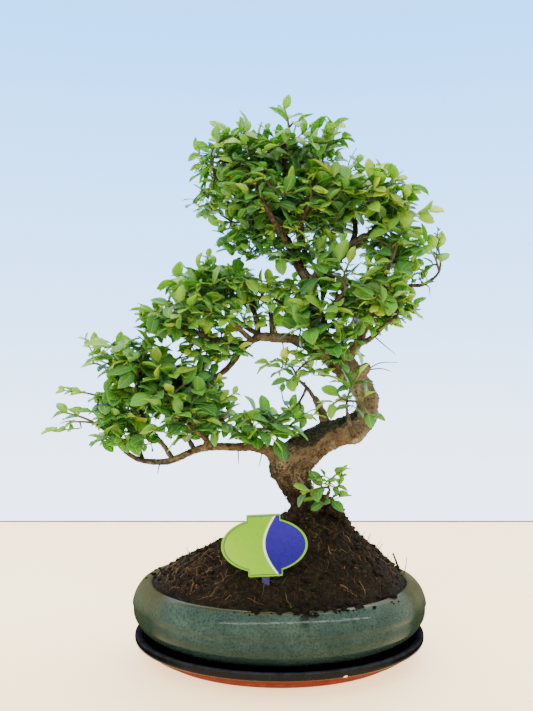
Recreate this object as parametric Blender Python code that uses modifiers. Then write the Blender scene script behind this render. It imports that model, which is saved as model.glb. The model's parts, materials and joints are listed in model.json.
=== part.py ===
"""A privet bonsai in an oval glazed pot, with its soil, roots, saucer and plant label.

The origin is the middle of the saucer's flat underside. X runs along the oval, Y away from the front,
Z up. Lengths are in metres, written as millimetres times MM. The tree's own points are plain
millimetres and are scaled when a mesh is made from them.
"""

import math
import random

import bmesh
import bpy
from mathutils import Matrix, Vector, noise
from mathutils.bvhtree import BVHTree

MM = 0.001
GAP = 0.3 * MM  # clearance between two pieces that touch

# Pot and saucer: (radius along X, height), from the middle inside, over the rim, to the middle below
OVAL_DEPTH = 0.77  # of the length
OVAL_STEPS = 32
POT_FLOOR = 18.0
POT_INSIDE = ((80, 18), (110, 27.5), (120.5, 37.5), (123, 47.5), (121, 55), (112.8, 64.3))
POT_RIM = ((114.5, 66), (117.5, 66.3))
POT_SHOULDER = ((122.5, 64), (127, 58), (129.5, 51.5))
POT_WALL = ((130, 48), (128.5, 38), (122, 28.5), (111, 21.5), (98, 16.5), (89, 12.5))
POT_BASE = 12.0
FOOT_SIZE = Vector((26, 15, 7)) * MM
FOOT_PLACE = Vector((56, 33)) * MM
DRAIN_RADIUS = 10 * MM
DRAIN_PLACE = 38 * MM
SCREEN_RADIUS = 17 * MM
SCREEN_HOLE = 3 * MM
SCREEN_HOLES_OUT = 6 * MM
SCREEN_THICKNESS = 1.2 * MM
SAUCER_FLOOR = 6.5
SAUCER_INSIDE = ((100, 6.5), (105, 8.5), (122.3, 21.2))
SAUCER_RIM = ((125, 22.3), (127.8, 21.2))
SAUCER_OUTSIDE = ((127.8, 16.4), (126, 15.5), (97, 1.2), (94, 0))

# Soil: a mound on the filled pot
SOIL_PEAK = Vector((32, 0, 131))
SOIL_RISE_POWER = 0.8
SOIL_RINGS = (0.1, 0.24, 0.4, 0.58, 0.76, 0.92)
SOIL_LUMPS = 1.6

# Plant label: an oval plate with a short square tab above and below, on a stake
LABEL_PLACE = Vector((-13, -66, 112)) * MM
LABEL_HALF = Vector((35, 21.5)) * MM
LABEL_TAB_HALF = Vector((13.8, 24.5)) * MM
LABEL_THICKNESS = 1.2 * MM
LABEL_LEAN = math.radians(10)
LABEL_TURN = math.radians(-2.5)
STAKE_HALF_WIDTH = 5 * MM
STAKE_TOP = 14 * MM  # above the middle of the plate
STAKE_FOOT = -62 * MM
STAKE_THICKNESS = 1.6 * MM

# Tree: (x, y, z, radius) along the middle of each length of wood
TRUNK = (
    (27, 0, 92, 17), (27, 0, 110, 17), (26, 0, 125, 15.5), (20, -1, 139, 12.5), (13, -3, 155, 15.5),
    (13, -4, 170, 17), (24, -6, 182, 15.5), (40, -6, 192, 13.5), (57, -4, 198, 11.5), (73, 0, 205, 10.5),
    (80, 4, 218, 10), (77, 7, 232, 10), (69, 6, 244, 10), (57, 3, 256, 10.5), (44, 0, 268, 10),
    (36, -2, 282, 9), (32, -4, 298, 7.5), (29, -5, 314, 6.8), (28, -5, 330, 6),
)
BRANCHES = {
    "arm_left": (
        (28, -5, 328, 5.5), (21, -4, 339, 4.8), (14, 0, 352, 4.4), (9, 4, 365, 4), (2, 8, 379, 3.6),
        (-7, 10, 397, 3.1), (-19, 8, 406, 2.6), (-33, 4, 411, 2.2), (-51, -2, 419, 1.7),
    ),
    "arm_left_up": (
        (2, 8, 379, 2.8), (8, 2, 394, 2.6), (7, -4, 410, 2.2), (4, -6, 430, 1.8), (5, -4, 453, 1.4),
    ),
    "crown_front": ((14, 0, 352, 3), (5, -20, 365, 2.6), (-8, -38, 384, 2.2), (-18, -46, 403, 1.5)),
    "crown_back": ((21, -4, 339, 3.2), (24, 22, 363, 2.8), (19, 38, 389, 2.3), (9, 44, 419, 1.5)),
    "arm_mid": (
        (15, 0, 351, 3), (18, -14, 366, 2.8), (19, -24, 381, 2.5), (26, -28, 398, 2), (30, -26, 409, 1.5),
    ),
    "arm_right": (
        (28, -5, 328, 5.5), (38, -8, 340, 5), (53, -10, 352, 4.4), (68, -8, 365, 3.6), (79, -6, 372, 3),
        (92, -4, 384, 2.4), (103, -2, 399, 1.6),
    ),
    "arm_right_up": ((63, -9, 360, 2.8), (69, 4, 380, 2.4), (65, 12, 402, 2), (61, 14, 426, 1.4)),
    "upright": (
        (55, 2, 257, 5), (69, -2, 274, 4.6), (79, -2, 297, 4.2), (86, 0, 315, 3.8), (90, 0, 333, 3.5),
        (94, 2, 349, 3), (101, 4, 364, 2.3), (111, 6, 376, 1.5),
    ),
    "far_right": (
        (86, 0, 317, 2.4), (101, -3, 323, 2), (116, -4, 327, 1.8), (128, -3, 328, 1.5), (138, -2, 334, 1.3),
    ),
    "right_front": ((79, -2, 297, 2.8), (80, -20, 309, 2.4), (85, -34, 322, 2), (91, -40, 337, 1.4)),
    "right_low": ((69, -2, 274, 2.8), (80, -14, 280, 2.4), (91, -22, 291, 1.9), (101, -24, 299, 1.4)),
    "centre_front": ((36, -2, 284, 3.2), (39, -20, 296, 2.8), (46, -36, 308, 2.2), (53, -46, 318, 1.5)),
    "centre_back": ((50, 2, 262, 3.4), (61, 22, 279, 2.8), (73, 38, 301, 2.2), (82, 46, 318, 1.5)),
    "branch_mid": (
        (41, 0, 269, 6), (26, -4, 274, 5.4), (10, -6, 280, 4.6), (-6, -6, 281, 4.2), (-19, -5, 281, 3.8),
        (-31, -4, 273, 3.2), (-40, -4, 261, 2.8), (-49, -4, 251, 2.5), (-61, -4, 244, 2.1),
    ),
    "mid_up": ((-19, -5, 281, 3), (-20, 2, 295, 2.6), (-25, 6, 311, 2.2), (-34, 8, 324, 1.5)),
    "mid_out": (
        (-29, -4, 275, 3), (-42, -10, 276, 2.6), (-57, -14, 279, 2.2), (-73, -12, 286, 1.8),
        (-88, -8, 291, 1.3),
    ),
    "mid_inner": ((-6, -6, 281, 2.4), (-7, -2, 295, 2.2), (-8, 0, 309, 1.5)),
    "mid_back": ((-14, -5, 281, 2.8), (-25, 18, 288, 2.4), (-42, 34, 297, 2), (-61, 42, 302, 1.4)),
    "mid_front": ((-24, -5, 278, 2.6), (-34, -22, 287, 2.2), (-47, -36, 297, 1.8), (-61, -40, 302, 1.3)),
    "branch_low": (
        (4, -4, 173, 7), (-8, -6, 180, 5.6), (-21, -8, 184, 4.3), (-39, -8, 184, 3.8), (-60, -8, 184, 3.5),
        (-75, -9, 181, 3.2), (-93, -10, 173, 3), (-105, -10, 171, 2.7), (-121, -8, 172, 2.3),
        (-133, -6, 177, 2),
        (-144, -4, 187, 1.7), (-154, -4, 197, 1.3),
    ),
    "low_a": (
        (-66, -8, 182, 2.6), (-64, -14, 193, 2.3), (-72, -16, 202, 2), (-85, -14, 209, 1.8),
        (-101, -10, 213, 1.3),
    ),
    "low_b": (
        (-94, -10, 173, 2.5), (-102, -6, 184, 2.2), (-111, -2, 194, 2), (-119, 2, 205, 1.8),
        (-127, 4, 219, 1.5),
        (-134, 3, 234, 1.2),
    ),
    "low_c": ((-28, -8, 184, 2.2), (-32, -14, 194, 1.8), (-43, -20, 202, 1.5), (-52, -22, 208, 1.2)),
    "low_front": ((-60, -8, 184, 2.6), (-65, -26, 194, 2.1), (-76, -40, 207, 1.7), (-88, -46, 221, 1.3)),
    "low_back": ((-75, -9, 181, 2.6), (-83, 14, 189, 2.1), (-95, 30, 204, 1.7), (-109, 38, 219, 1.3)),
    "low_end_back": ((-121, -8, 172, 2), (-128, 10, 183, 1.6), (-138, 18, 196, 1.2)),
    "stub_twig": ((32, -4, 226, 2), (24, -8, 237, 1.6), (16, -10, 244, 1.2)),
    "base_twig": ((28, -6, 122, 2.6), (33, -16, 131, 2.2), (39, -21, 139, 1.8), (43, -22, 147, 1.5)),
    "front_riser": ((65, -6, 193, 3.4), (66, -14, 193, 3), (62, -18, 203, 2.3), (59, -19, 215, 1.6)),
}
STUBS = {
    "stub_top": ((42, -6, 197, 4.2), (39, -5, 211, 3.8), (35, -4, 221, 3.3), (31, -4, 228, 2.4)),
    "elbow_stub": ((64, 4, 248, 4.6), (73, 0, 251, 4), (78, -3, 252, 3.2)),
    "pruned_knob": ((33, -4, 293, 5.6), (34, -11, 302, 4.6), (34, -16, 305, 3.8)),
}
ROOTS = {
    "root_left": ((26, 0, 130, 11), (16, -8, 126, 7), (4, -14, 119, 4.5), (-8, -18, 108, 2.5)),
    "root_right": ((29, 0, 131, 12), (42, -4, 131, 8), (52, -6, 125, 5.5), (64, -8, 110, 3)),
    "root_front": ((25, -2, 128, 11), (26, -17, 118, 7), (29, -29, 107, 4.5), (33, -42, 94, 2.5)),
    "root_back": ((30, 3, 129, 11), (40, 18, 121, 7), (53, 30, 107, 4)),
}
BARK_LUMPS = 1.1
BARK_STARTS = 133  # height above which the trunk is lumpy

# Foliage: a pad is (middle, half sizes, number of shoot tips, tips at set places)
PADS = {
    "crown_left": ((-32, 0, 440), (38, 44, 27), 6, ()),
    "crown_top": ((17, 0, 451), (41, 50, 27), 6, ((5, 0, 486),)),
    "crown_low": ((-6, 0, 399), (40, 50, 28), 4, ()),
    "crown_right": ((42, 0, 400), (30, 52, 32), 6, ()),
    "right_top": ((92, 0, 404), (27, 38, 22), 4, ()),
    "right_mid": ((107, 0, 361), (30, 42, 27), 5, ((142, -2, 362),)),
    "right_low": ((88, -2, 310), (32, 44, 25), 5, ((116, -8, 304),)),
    "centre_front": ((49, -34, 331), (22, 18, 20), 4, ()),
    "trunk_front": ((32, -32, 291), (24, 14, 24), 4, ()),
    "mid_top": ((-55, 2, 322), (40, 44, 22), 6, ()),
    "mid_outer": ((-91, 0, 295), (27, 34, 16), 4, ()),
    "mid_inner": ((2, 2, 313), (29, 26, 24), 4, ()),
    "mid_low": ((-57, -4, 270), (27, 32, 14), 4, ()),
    "low_top": ((-135, 0, 259), (34, 36, 20), 5, ((-164, 0, 272),)),
    "low_tip": ((-157, -2, 214), (38, 34, 20), 4, ((-183, -4, 206), (-179, 8, 232))),
    "low_inner": ((-92, 0, 232), (39, 46, 23), 6, ()),
    "low_near": ((-63, -12, 206), (25, 34, 12), 4, ()),
}
SINGLES = {
    "riser": ((70, -20, 250), (78, -30, 213), (45, -30, 223)),
    "stub": ((4, -14, 259), (27, -14, 261)),
    "collar": ((7, -16, 214), (22, -20, 213)),
    "low_collar": ((-27, -20, 207), (-7, -24, 200)),
    "base": ((51, -24, 164), (23, -28, 148)),
}

SEED = 7
PAD_FILL = (0.74, 0.92)  # where tips lie between the middle and the edge of a pad
PAD_LOWEST = -0.5  # how far round to the underside tips go, from 1 at the top to -1
PAD_STAGGER = 0.25  # radians

# Where a spray grows from: every length of wood has a cost, and the least is taken
END_REACH = 50  # a branch end carries a spray this far away
END_LEAST = 12  # shortest way from a branch end to a shoot's tip
END_WORTH = 0.15  # share of a branch end's distance that counts
THICK_COST = 1.2  # for each mm of radius
BACKWARD_COST = 14  # for a spur that turns back along its branch
ALONGSIDE_COST = 80  # for a spur that runs beside its branch
ALONGSIDE = 0.7  # cosine of the angle from which it does
SPUR_KEEP = 20  # length of green shoot beyond a spur of wood
SPUR_LEAST = 4  # length of the shortest spur beyond the bark
SPUR_SAG = 0.06
SPUR_RADIUS = (1.7, 1.25)

# Green shoots
SHOOT_RADIUS = (1.25, 0.9)
SHOOT_STEPS = 3
SHOOT_CURVE = 0.42
WAY_TRIES = 60  # a shoot that meets something is bent and moved a little more each time
WAY_BEND = 0.05
WAY_MOVE = 0.3

# Leaves stand in pairs, one pair near a shoot's tip and one further back, to be tried level by level
LEAF_LENGTHS = ((14, 17), (18.5, 22))
LEAF_ANGLES = (38, 58)
ANGLE_SPREAD = 7
LEAF_ROWS = ((0.0, 0.0), (0.34, 0.265), (0.7, 0.215), (1.0, 0.0))  # (along, half width) in leaf lengths
LEAF_ROOT_OUT = 0.1
LEAF_OUTWARD = 0.45
LEAF_SWAY = 0.38
LEAF_RISE = (0.0, 0.22)
LEAF_DROOP = (0.12, 0.34)
LEAF_THICKNESS = 0.66
PAIR_EVERY = (1, 2)  # every spray has its first pairs, every second one has a pair further back
PAIR_FROM_TIP = 2.2
PAIR_STAGGER = 2.0
PAIR_TWIST = 0.2
PAIR_LEAST = 5  # from the foot of a shoot
NODE_SPACING = 11.5
LEAF_TRIES = 14  # a leaf that meets something is turned one way, then the other
LEAF_TURN = 0.3
LEAF_SHRINK = 0.02

# Clearances that shoots and leaves keep
GUARD_EDGE = 0.4
GUARD_HALF = 0.55
GUARD_WOOD = 0.4
GUARD_SHOOT = 0.15
GUARD_SIDES = 6
SEAT_PASSED = 3  # length of shoot that is let off the test against its own seat
LEAF_REACH = 16
WELDS = (0.22, 0.18, 0.14, 0.1, 0.06, 0.0)  # distances tried on the slivers that a union leaves

COLOURS = {
    "leaf": ((0.11, 0.30, 0.03, 1), 0.45, 0),
    "bark": ((0.16, 0.11, 0.07, 1), 0.8, 0),
    "soil": ((0.02, 0.013, 0.009, 1), 0.95, 0),
    "glaze": ((0.17, 0.24, 0.18, 1), 0.25, 0),
    "dark_glaze": ((0.015, 0.017, 0.02, 1), 0.25, 0),
    "label": ((0.42, 0.66, 0.03, 1), 0.35, 0),
    "stake": ((0.07, 0.07, 0.45, 1), 0.4, 0),
    "screen": ((0.02, 0.02, 0.02, 1), 0.6, 0),
}


# Plan of the tree: points, shoots and leaves, in millimetres


def along_route(points, finest=7.0):
    """A smooth curve through a route's points, as (point, radius) at steps that suit its thickness."""
    knots = [Vector(p) for p in points]
    knots = [knots[0] * 2 - knots[1]] + knots + [knots[-1] * 2 - knots[-2]]
    path = []
    for a, b, c, d in zip(knots, knots[1:], knots[2:], knots[3:]):
        steps = max(1, round((c - b).to_3d().length / max(finest, 1.1 * b[3])))
        for i in range(steps):
            u = i / steps
            spot = b * 2 + (c - a) * u + (a * 2 - b * 5 + c * 4 - d) * u**2 + (b * 3 - a - c * 3 + d) * u**3
            path.append((spot.to_3d() / 2, spot[3] / 2))
    path.append((knots[-2].to_3d(), knots[-2][3]))
    return path


def bow(start, control, end, u):
    return start * (1 - u) ** 2 + control * (2 * u * (1 - u)) + end * u**2


def pad_tips(index, pad):
    """Shoot tips spread evenly over a pad's top and sides, with a seeded stagger."""
    middle, half, count, fixed = pad
    rng = random.Random(SEED * 100 + index)
    turn = rng.uniform(0, math.tau)
    tips = [Vector(p) for p in fixed]
    for i in range(count):
        up = 1 - (1 - PAD_LOWEST) * (i + 0.5) / count
        out = math.sqrt(1 - up * up)
        angle = turn + i * math.pi * (3 - math.sqrt(5)) + rng.uniform(-PAD_STAGGER, PAD_STAGGER)
        fill = rng.uniform(*PAD_FILL)
        way = Vector((out * math.cos(angle), out * math.sin(angle), up)) * fill
        tips.append(Vector(middle) + Vector(a * b for a, b in zip(way, half)))
    return tips


def paired(tips, middle):
    """Groups of two neighbouring tips, with one left alone where the number is odd."""
    left = list(tips)
    groups = []
    while left:
        first = max(left, key=lambda tip: (tip - middle).length)
        left.remove(first)
        group = [first]
        if left:
            group.append(min(left, key=lambda tip: (tip - first).length))
            left.remove(group[1])
        groups.append(group)
    return groups


def nearest_seat(tips, routes, taken):
    """Where a spray grows from: (cost, route, index), at a free branch end or along the wood."""
    target = sum(tips, Vector()) / len(tips)
    best = None
    for name, path in routes.items():
        last = len(path) - 1
        for i in range(1, last + 1):
            point, radius = path[i]
            reach = (target - point).length
            closest = min((tip - point).length for tip in tips)
            if i == last and (name in taken or reach > END_REACH or closest < END_LEAST):
                continue
            heading = (path[i][0] - path[i - 1][0]).normalized()
            onward = heading.dot((target - point).normalized())
            cost = radius * THICK_COST + BACKWARD_COST * max(0, -onward)
            if i == last:
                cost += reach * END_WORTH
            else:
                cost += reach + ALONGSIDE_COST * max(0, onward - ALONGSIDE)
            if best is None or cost < best[0]:
                best = (cost, name, i)
    return best


def plan_spray(name, pad, tips, routes, spurs, taken):
    """The seat of one spray, on a branch end or on a spur of wood made for it."""
    target = sum(tips, Vector()) / len(tips)
    _, route, i = nearest_seat(tips, routes, taken)
    point, radius = routes[route][i]
    if i == len(routes[route]) - 1:
        taken.add(route)
        heading = (point - routes[route][i - 1][0]).normalized()
        base = point
        seat = route
    else:
        way = target - point
        rise = way.normalized()
        length = max(radius + SPUR_LEAST, way.length - SPUR_KEEP)
        thick = min(SPUR_RADIUS[0], radius * 0.8)
        base = point + rise * length
        middle = point + rise * (length * 0.55) - Vector((0, 0, SPUR_SAG * length))
        spurs[name] = [(point, thick), (middle, (thick + SPUR_RADIUS[1]) / 2), (base, SPUR_RADIUS[1])]
        heading = (base - middle).normalized()
        seat = name
    return {"name": name, "pad": pad, "seat": seat, "base": base, "heading": heading, "tips": tips}


def shoot_path(start, heading, tip, steps, thick):
    control = start + heading * (tip - start).length * SHOOT_CURVE
    path = []
    for i in range(steps + 1):
        u = i / steps
        path.append((bow(start, control, tip, u), thick + (SHOOT_RADIUS[1] - thick) * u))
    return path


def grow_shoots(spray, tips, bend):
    """The first tip's shoot from the seat, and one forking off it for the other tip."""
    heading = spray["heading"]
    start = spray["base"]
    tips = sorted(tips, key=lambda tip: (start - tip).length, reverse=True)
    aim = (heading * 2 + bend).normalized()
    path = shoot_path(start, aim, tips[0], SHOOT_STEPS, SHOOT_RADIUS[0])
    tilt = heading.cross((path[1][0] - start).normalized()).length
    path[0] = (start + heading * (GAP / MM + path[0][1] * tilt), path[0][1])
    shoots = [path]
    for tip in tips[1:]:
        at, thick = path[1]
        onward = (path[2][0] - at).normalized() + (tip - at).normalized()
        shoots.append(shoot_path(at, onward.normalized(), tip, SHOOT_STEPS - 1, thick * 0.92))
    return shoots


def prism(path, grow, skip=0.0):
    """(points, faces) of a six-sided guard round a path, starting a little way along it."""
    points = []
    faces = []
    walked = 0.0
    for i, (spot, radius) in enumerate(path):
        ahead = path[min(i + 1, len(path) - 1)][0] - path[max(i - 1, 0)][0]
        if i == 0 and skip:
            spot = spot.lerp(path[1][0], min(0.9, skip / (path[1][0] - spot).length))
        side = ahead.orthogonal().normalized()
        other = ahead.normalized().cross(side)
        reach = (radius + grow) / math.cos(math.pi / GUARD_SIDES)
        for k in range(GUARD_SIDES):
            angle = math.tau * k / GUARD_SIDES
            points.append(spot + (side * math.cos(angle) + other * math.sin(angle)) * reach)
        for k in range(GUARD_SIDES if i else 0):
            here = GUARD_SIDES * i + k
            following = GUARD_SIDES * i + (k + 1) % GUARD_SIDES
            faces.append((here - GUARD_SIDES, following - GUARD_SIDES, following, here))
    last = len(points) - GUARD_SIDES
    faces += [tuple(reversed(range(GUARD_SIDES))), tuple(range(last, len(points)))]
    return points, faces


def tree_of(solids):
    """One search tree over several (points, faces) solids."""
    points = []
    faces = []
    for some_points, some_faces in solids:
        start = len(points)
        points += some_points
        faces += [tuple(start + i for i in face) for face in some_faces]
    return BVHTree.FromPolygons(points, faces, epsilon=0.0)


def leaf_spot(leaf, t, side, lift):
    """A point of a leaf's blade: t along it, side across it, lift above its middle surface."""
    across = leaf["along"].cross(leaf["normal"])
    length = leaf["length"]
    rise = length * (leaf["rise"] * t - leaf["droop"] * t * t)
    return leaf["root"] + leaf["along"] * (t * length) + leaf["normal"] * (rise + lift) + across * side


def leaf_half(leaf, row):
    return LEAF_ROWS[row][1] * leaf["length"]


def leaf_guard(leaf):
    """A slab a little larger than the leaf."""
    points = []
    for lift in (-GUARD_HALF, GUARD_HALF):
        for row, (t, _) in enumerate(LEAF_ROWS):
            half = leaf_half(leaf, row) + GUARD_EDGE
            past = 1 + GUARD_EDGE / leaf["length"] if t == 1 else t
            points += [leaf_spot(leaf, past, -half, lift), leaf_spot(leaf, past, half, lift)]
    faces = []
    rows = len(LEAF_ROWS)
    under = 2 * rows
    for row in range(rows - 1):
        a = 2 * row
        faces += [(a, a + 1, a + 3, a + 2), (under + a, under + a + 2, under + a + 3, under + a + 1)]
        faces += [(a, a + 2, under + a + 2, under + a), (a + 1, under + a + 1, under + a + 3, a + 3)]
    faces += [(0, under, under + 1, 1), (under - 2, under - 1, 2 * under - 1, 2 * under - 2)]
    return points, faces


def make_leaf(root, axis, azimuth, angle, length, pad_middle, rng):
    """One leaf off a shoot, its upper face turned to the light."""
    side = Matrix.Rotation(azimuth, 3, axis) @ axis.orthogonal().normalized()
    along = (axis * math.cos(angle) + side * math.sin(angle)).normalized()
    outward = (root - pad_middle).normalized()
    sway = Vector(rng.uniform(-1, 1) for _ in range(3))
    normal = Vector((0, 0, 1)) + outward * LEAF_OUTWARD + sway * LEAF_SWAY
    normal -= along * normal.dot(along)
    return {
        "root": root + side * LEAF_ROOT_OUT,
        "along": along,
        "normal": normal.normalized(),
        "length": length,
        "rise": rng.uniform(*LEAF_RISE),
        "droop": rng.uniform(*LEAF_DROOP),
    }


def clear_of(solid, others):
    tree = tree_of([solid])
    return not any(tree.overlap(other) for other in others)


def near(leaf, middle, reach):
    between = leaf_spot(leaf, 0.5, 0, 0) - middle
    return between.length < leaf["length"] * 0.7 + reach


def blockers_of(leaf, pair, spray, sprays, wood_tree):
    """What a leaf has to keep clear of: wood, other sprays and its own spray's other pairs."""
    blockers = [wood_tree]
    blockers += [mate["tree"] for mate in spray["leaves"] if mate["pair"] != pair]
    for other in sprays:
        if other is not spray and near(leaf, other["middle"], other["reach"]):
            blockers.append(other["shoot_tree"])
            blockers += [done["tree"] for done in other["leaves"] if near(leaf, done["middle"], LEAF_REACH)]
    return blockers


def pair_place(path, level):
    """Where on a shoot a pair of leaves stands: (point, direction), or None if the shoot is too short."""
    spots = [spot for spot, _ in path]
    lengths = [(b - a).length for a, b in zip(spots, spots[1:])]
    place = sum(lengths) - PAIR_FROM_TIP - level * NODE_SPACING
    if place < PAIR_LEAST:
        return None
    step = 0
    while step < len(lengths) - 1 and place > lengths[step]:
        place -= lengths[step]
        step += 1
    axis = (spots[step + 1] - spots[step]).normalized()
    return spots[step] + axis * place, axis


def place_leaves(number, sprays, wood_tree, level, pad_middle):
    """A pair of leaves on a spray's shoots, only the first one's at the second level."""
    spray = sprays[number]
    rng = random.Random(SEED * 1000 + number * 10 + level)
    for index, path in enumerate(spray["shoots"][: 1 if level else None]):
        azimuth = spray["azimuths"][index] + math.pi / 2 * level
        length = rng.uniform(*LEAF_LENGTHS[level])
        found = pair_place(path, level)
        if not found:
            continue
        root, axis = found
        for half_turn in (0, 1):
            first = azimuth + math.pi * half_turn + rng.uniform(-PAIR_TWIST, PAIR_TWIST)
            shift = root + axis * PAIR_STAGGER * (half_turn - 0.5)
            angle = math.radians(LEAF_ANGLES[level] + rng.uniform(-ANGLE_SPREAD, ANGLE_SPREAD))
            for attempt in range(LEAF_TRIES):
                turn = first + LEAF_TURN * ((attempt + 1) // 2) * (-1) ** attempt
                size = length * (1 - LEAF_SHRINK * attempt)
                leaf = make_leaf(shift, axis, turn, angle, size, pad_middle, rng)
                guard = leaf_guard(leaf)
                if clear_of(guard, blockers_of(leaf, (index, level), spray, sprays, wood_tree)):
                    leaf["tree"] = tree_of([guard])
                    leaf["middle"] = leaf_spot(leaf, 0.5, 0, 0)
                    leaf["pair"] = (index, level)
                    spray["leaves"].append(leaf)
                    break


def find_way(spray, number, done, wood):
    """Shoots that keep clear of the wood and of the sprays already grown."""
    rng = random.Random(SEED * 10 + number)
    others = done + [tree_of([solid for name, solid in wood.items() if name != spray["seat"]])]
    seat = [tree_of([wood[spray["seat"]]])]
    for attempt in range(WAY_TRIES):
        bend = Vector(rng.uniform(-1, 1) for _ in range(3)) * WAY_BEND * attempt
        moves = [Vector(rng.uniform(-1, 1) for _ in range(3)) * WAY_MOVE * attempt for _ in spray["tips"]]
        shoots = grow_shoots(spray, [tip + move for tip, move in zip(spray["tips"], moves)], bend)
        solids = [prism(path, GUARD_SHOOT) for path in shoots]
        past_seat = [prism(shoots[0], GUARD_SHOOT, SEAT_PASSED)] + solids[1:]
        if all(clear_of(a, others) and clear_of(b, seat) for a, b in zip(solids, past_seat)):
            spray["shoots"] = shoots
            spray["shoot_tree"] = tree_of(solids)
            spots = [spot for path in shoots for spot, _ in path]
            spray["middle"] = sum(spots, Vector()) / len(spots)
            spray["reach"] = max((spot - spray["middle"]).length for spot in spots) + LEAF_REACH
            spray["azimuths"] = [rng.uniform(0, math.pi) for _ in shoots]
            spray["leaves"] = []
            return
    raise ValueError(f"no clear way for {spray['name']}")


def plan_tree():
    """The wood's routes, stubs and spurs, and the sprays with every leaf in place."""
    routes = {"trunk": along_route(TRUNK, 12)}
    for name, points in BRANCHES.items():
        routes[name] = along_route(points, 17)
    stubs = {name: along_route(points, 8) for name, points in STUBS.items()}
    spurs = {}
    taken = {"trunk"}
    sprays = []
    middles = {}
    for index, (pad_name, pad) in enumerate(PADS.items()):
        middle = Vector(pad[0])
        middles[pad_name] = middle - Vector((0, 0, pad[1][2]))
        for k, tips in enumerate(paired(pad_tips(index, pad), middle)):
            sprays.append(plan_spray(f"spray_{pad_name}_{k + 1}", pad_name, tips, routes, spurs, taken))
    for name, places in SINGLES.items():
        tips = [Vector(place) for place in places]
        middles[name] = tips[0] - Vector((0, 0, 20))
        sprays.append(plan_spray(f"spray_{name}", name, tips, routes, spurs, taken))
    wood = {name: prism(path, GUARD_WOOD) for name, path in {**routes, **stubs, **spurs}.items()}
    for number, spray in enumerate(sprays):
        find_way(spray, number, [s["shoot_tree"] for s in sprays[:number]], wood)
    wood_tree = tree_of(list(wood.values()))
    for level, every in enumerate(PAIR_EVERY):
        for number in range(0, len(sprays), every):
            place_leaves(number, sprays, wood_tree, level, middles[sprays[number]["pad"]])
    return routes, stubs, spurs, sprays


# Shapes


def clear_scene():
    for obj in list(bpy.data.objects):
        bpy.data.objects.remove(obj)


def make_material(name):
    colour, roughness, metallic = COLOURS[name]
    material = bpy.data.materials.new(name)
    material.use_nodes = True
    shader = material.node_tree.nodes["Principled BSDF"]
    shader.inputs["Base Color"].default_value = colour
    shader.inputs["Roughness"].default_value = roughness
    shader.inputs["Metallic"].default_value = metallic
    material.diffuse_color = colour
    return material


def new_object(name, data, collection):
    obj = bpy.data.objects.new(name, data)
    collection.objects.link(obj)
    return obj


def mesh_object(name, bm, collection):
    mesh = bpy.data.meshes.new(name)
    bm.to_mesh(mesh)
    bm.free()
    return new_object(name, mesh, collection)


def applied(obj):
    """Replaces an object's data by its evaluated mesh, so that no modifier is left on it."""
    bpy.context.view_layer.update()
    graph = bpy.context.evaluated_depsgraph_get()
    mesh = bpy.data.meshes.new_from_object(obj.evaluated_get(graph))
    obj.modifiers.clear()
    obj.data = mesh
    return obj


def tube(name, path, bevel_resolution, collection):
    """A round stick along a path of (point, radius), as a mesh with its two caps welded on."""
    curve = bpy.data.curves.new(name, "CURVE")
    curve.dimensions = "3D"
    curve.bevel_depth = MM
    curve.bevel_resolution = bevel_resolution
    curve.use_fill_caps = True
    spline = curve.splines.new("POLY")
    spline.points.add(len(path) - 1)
    for point, (spot, radius) in zip(spline.points, path):
        point.co = (*(spot * MM), 1)
        point.radius = radius
    source = new_object(name + "_curve", curve, collection)
    bpy.context.view_layer.update()
    graph = bpy.context.evaluated_depsgraph_get()
    mesh = bpy.data.meshes.new_from_object(source.evaluated_get(graph))
    matrix = source.matrix_world.copy()
    bpy.data.objects.remove(source)
    bm = bmesh.new()
    bm.from_mesh(mesh)
    bmesh.ops.remove_doubles(bm, verts=bm.verts[:], dist=1e-6)
    bmesh.ops.recalc_face_normals(bm, faces=bm.faces[:])
    bm.to_mesh(mesh)
    bm.free()
    obj = new_object(name, mesh, collection)
    obj.matrix_world = matrix
    return obj


def boolean(obj, collection, operation):
    """Joins or cuts an object with all of a collection's, which are then removed."""
    modifier = obj.modifiers.new(operation.lower(), "BOOLEAN")
    modifier.operation = operation
    modifier.solver = "EXACT"
    modifier.operand_type = "COLLECTION"
    modifier.collection = collection
    applied(obj)
    for other in list(collection.objects):
        bpy.data.objects.remove(other)
    return obj


def crossings(bm):
    """How many pairs of faces that share no corner cross each other."""
    tree = BVHTree.FromBMesh(bm, epsilon=0.0)
    corners = [{vert.index for vert in face.verts} for face in bm.faces]
    return sum(1 for a, b in tree.overlap(tree) if a < b and not corners[a] & corners[b])


def tidied(obj):
    """Welds slivers by the widest distance that leaves the surface closed and uncrossed."""
    for distance in WELDS:
        bm = bmesh.new()
        bm.from_mesh(obj.data)
        bmesh.ops.triangulate(bm, faces=bm.faces[:])
        bmesh.ops.remove_doubles(bm, verts=bm.verts[:], dist=distance * MM)
        bmesh.ops.dissolve_degenerate(bm, edges=bm.edges[:], dist=1e-7)
        bmesh.ops.triangulate(bm, faces=bm.faces[:])
        bm.verts.index_update()
        sound = all(len(edge.link_faces) == 2 for edge in bm.edges) and not crossings(bm)
        if sound:
            bm.to_mesh(obj.data)
            bm.free()
            break
        bm.free()
    return obj


def turned(name, outline, collection):
    """An oval piece from a (radius, height) outline in millimetres, which starts and ends on the axis."""
    bm = bmesh.new()
    verts = [bm.verts.new((radius * MM, 0, height * MM)) for radius, height in outline]
    for a, b in zip(verts, verts[1:]):
        bm.edges.new((a, b))
    obj = mesh_object(name, bm, collection)
    screw = obj.modifiers.new("turn", "SCREW")
    screw.steps = OVAL_STEPS
    screw.render_steps = OVAL_STEPS
    screw.use_merge_vertices = True
    screw.merge_threshold = 1e-6
    applied(obj)
    obj.data.transform(Matrix.Diagonal((1, OVAL_DEPTH, 1, 1)))
    return obj


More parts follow.
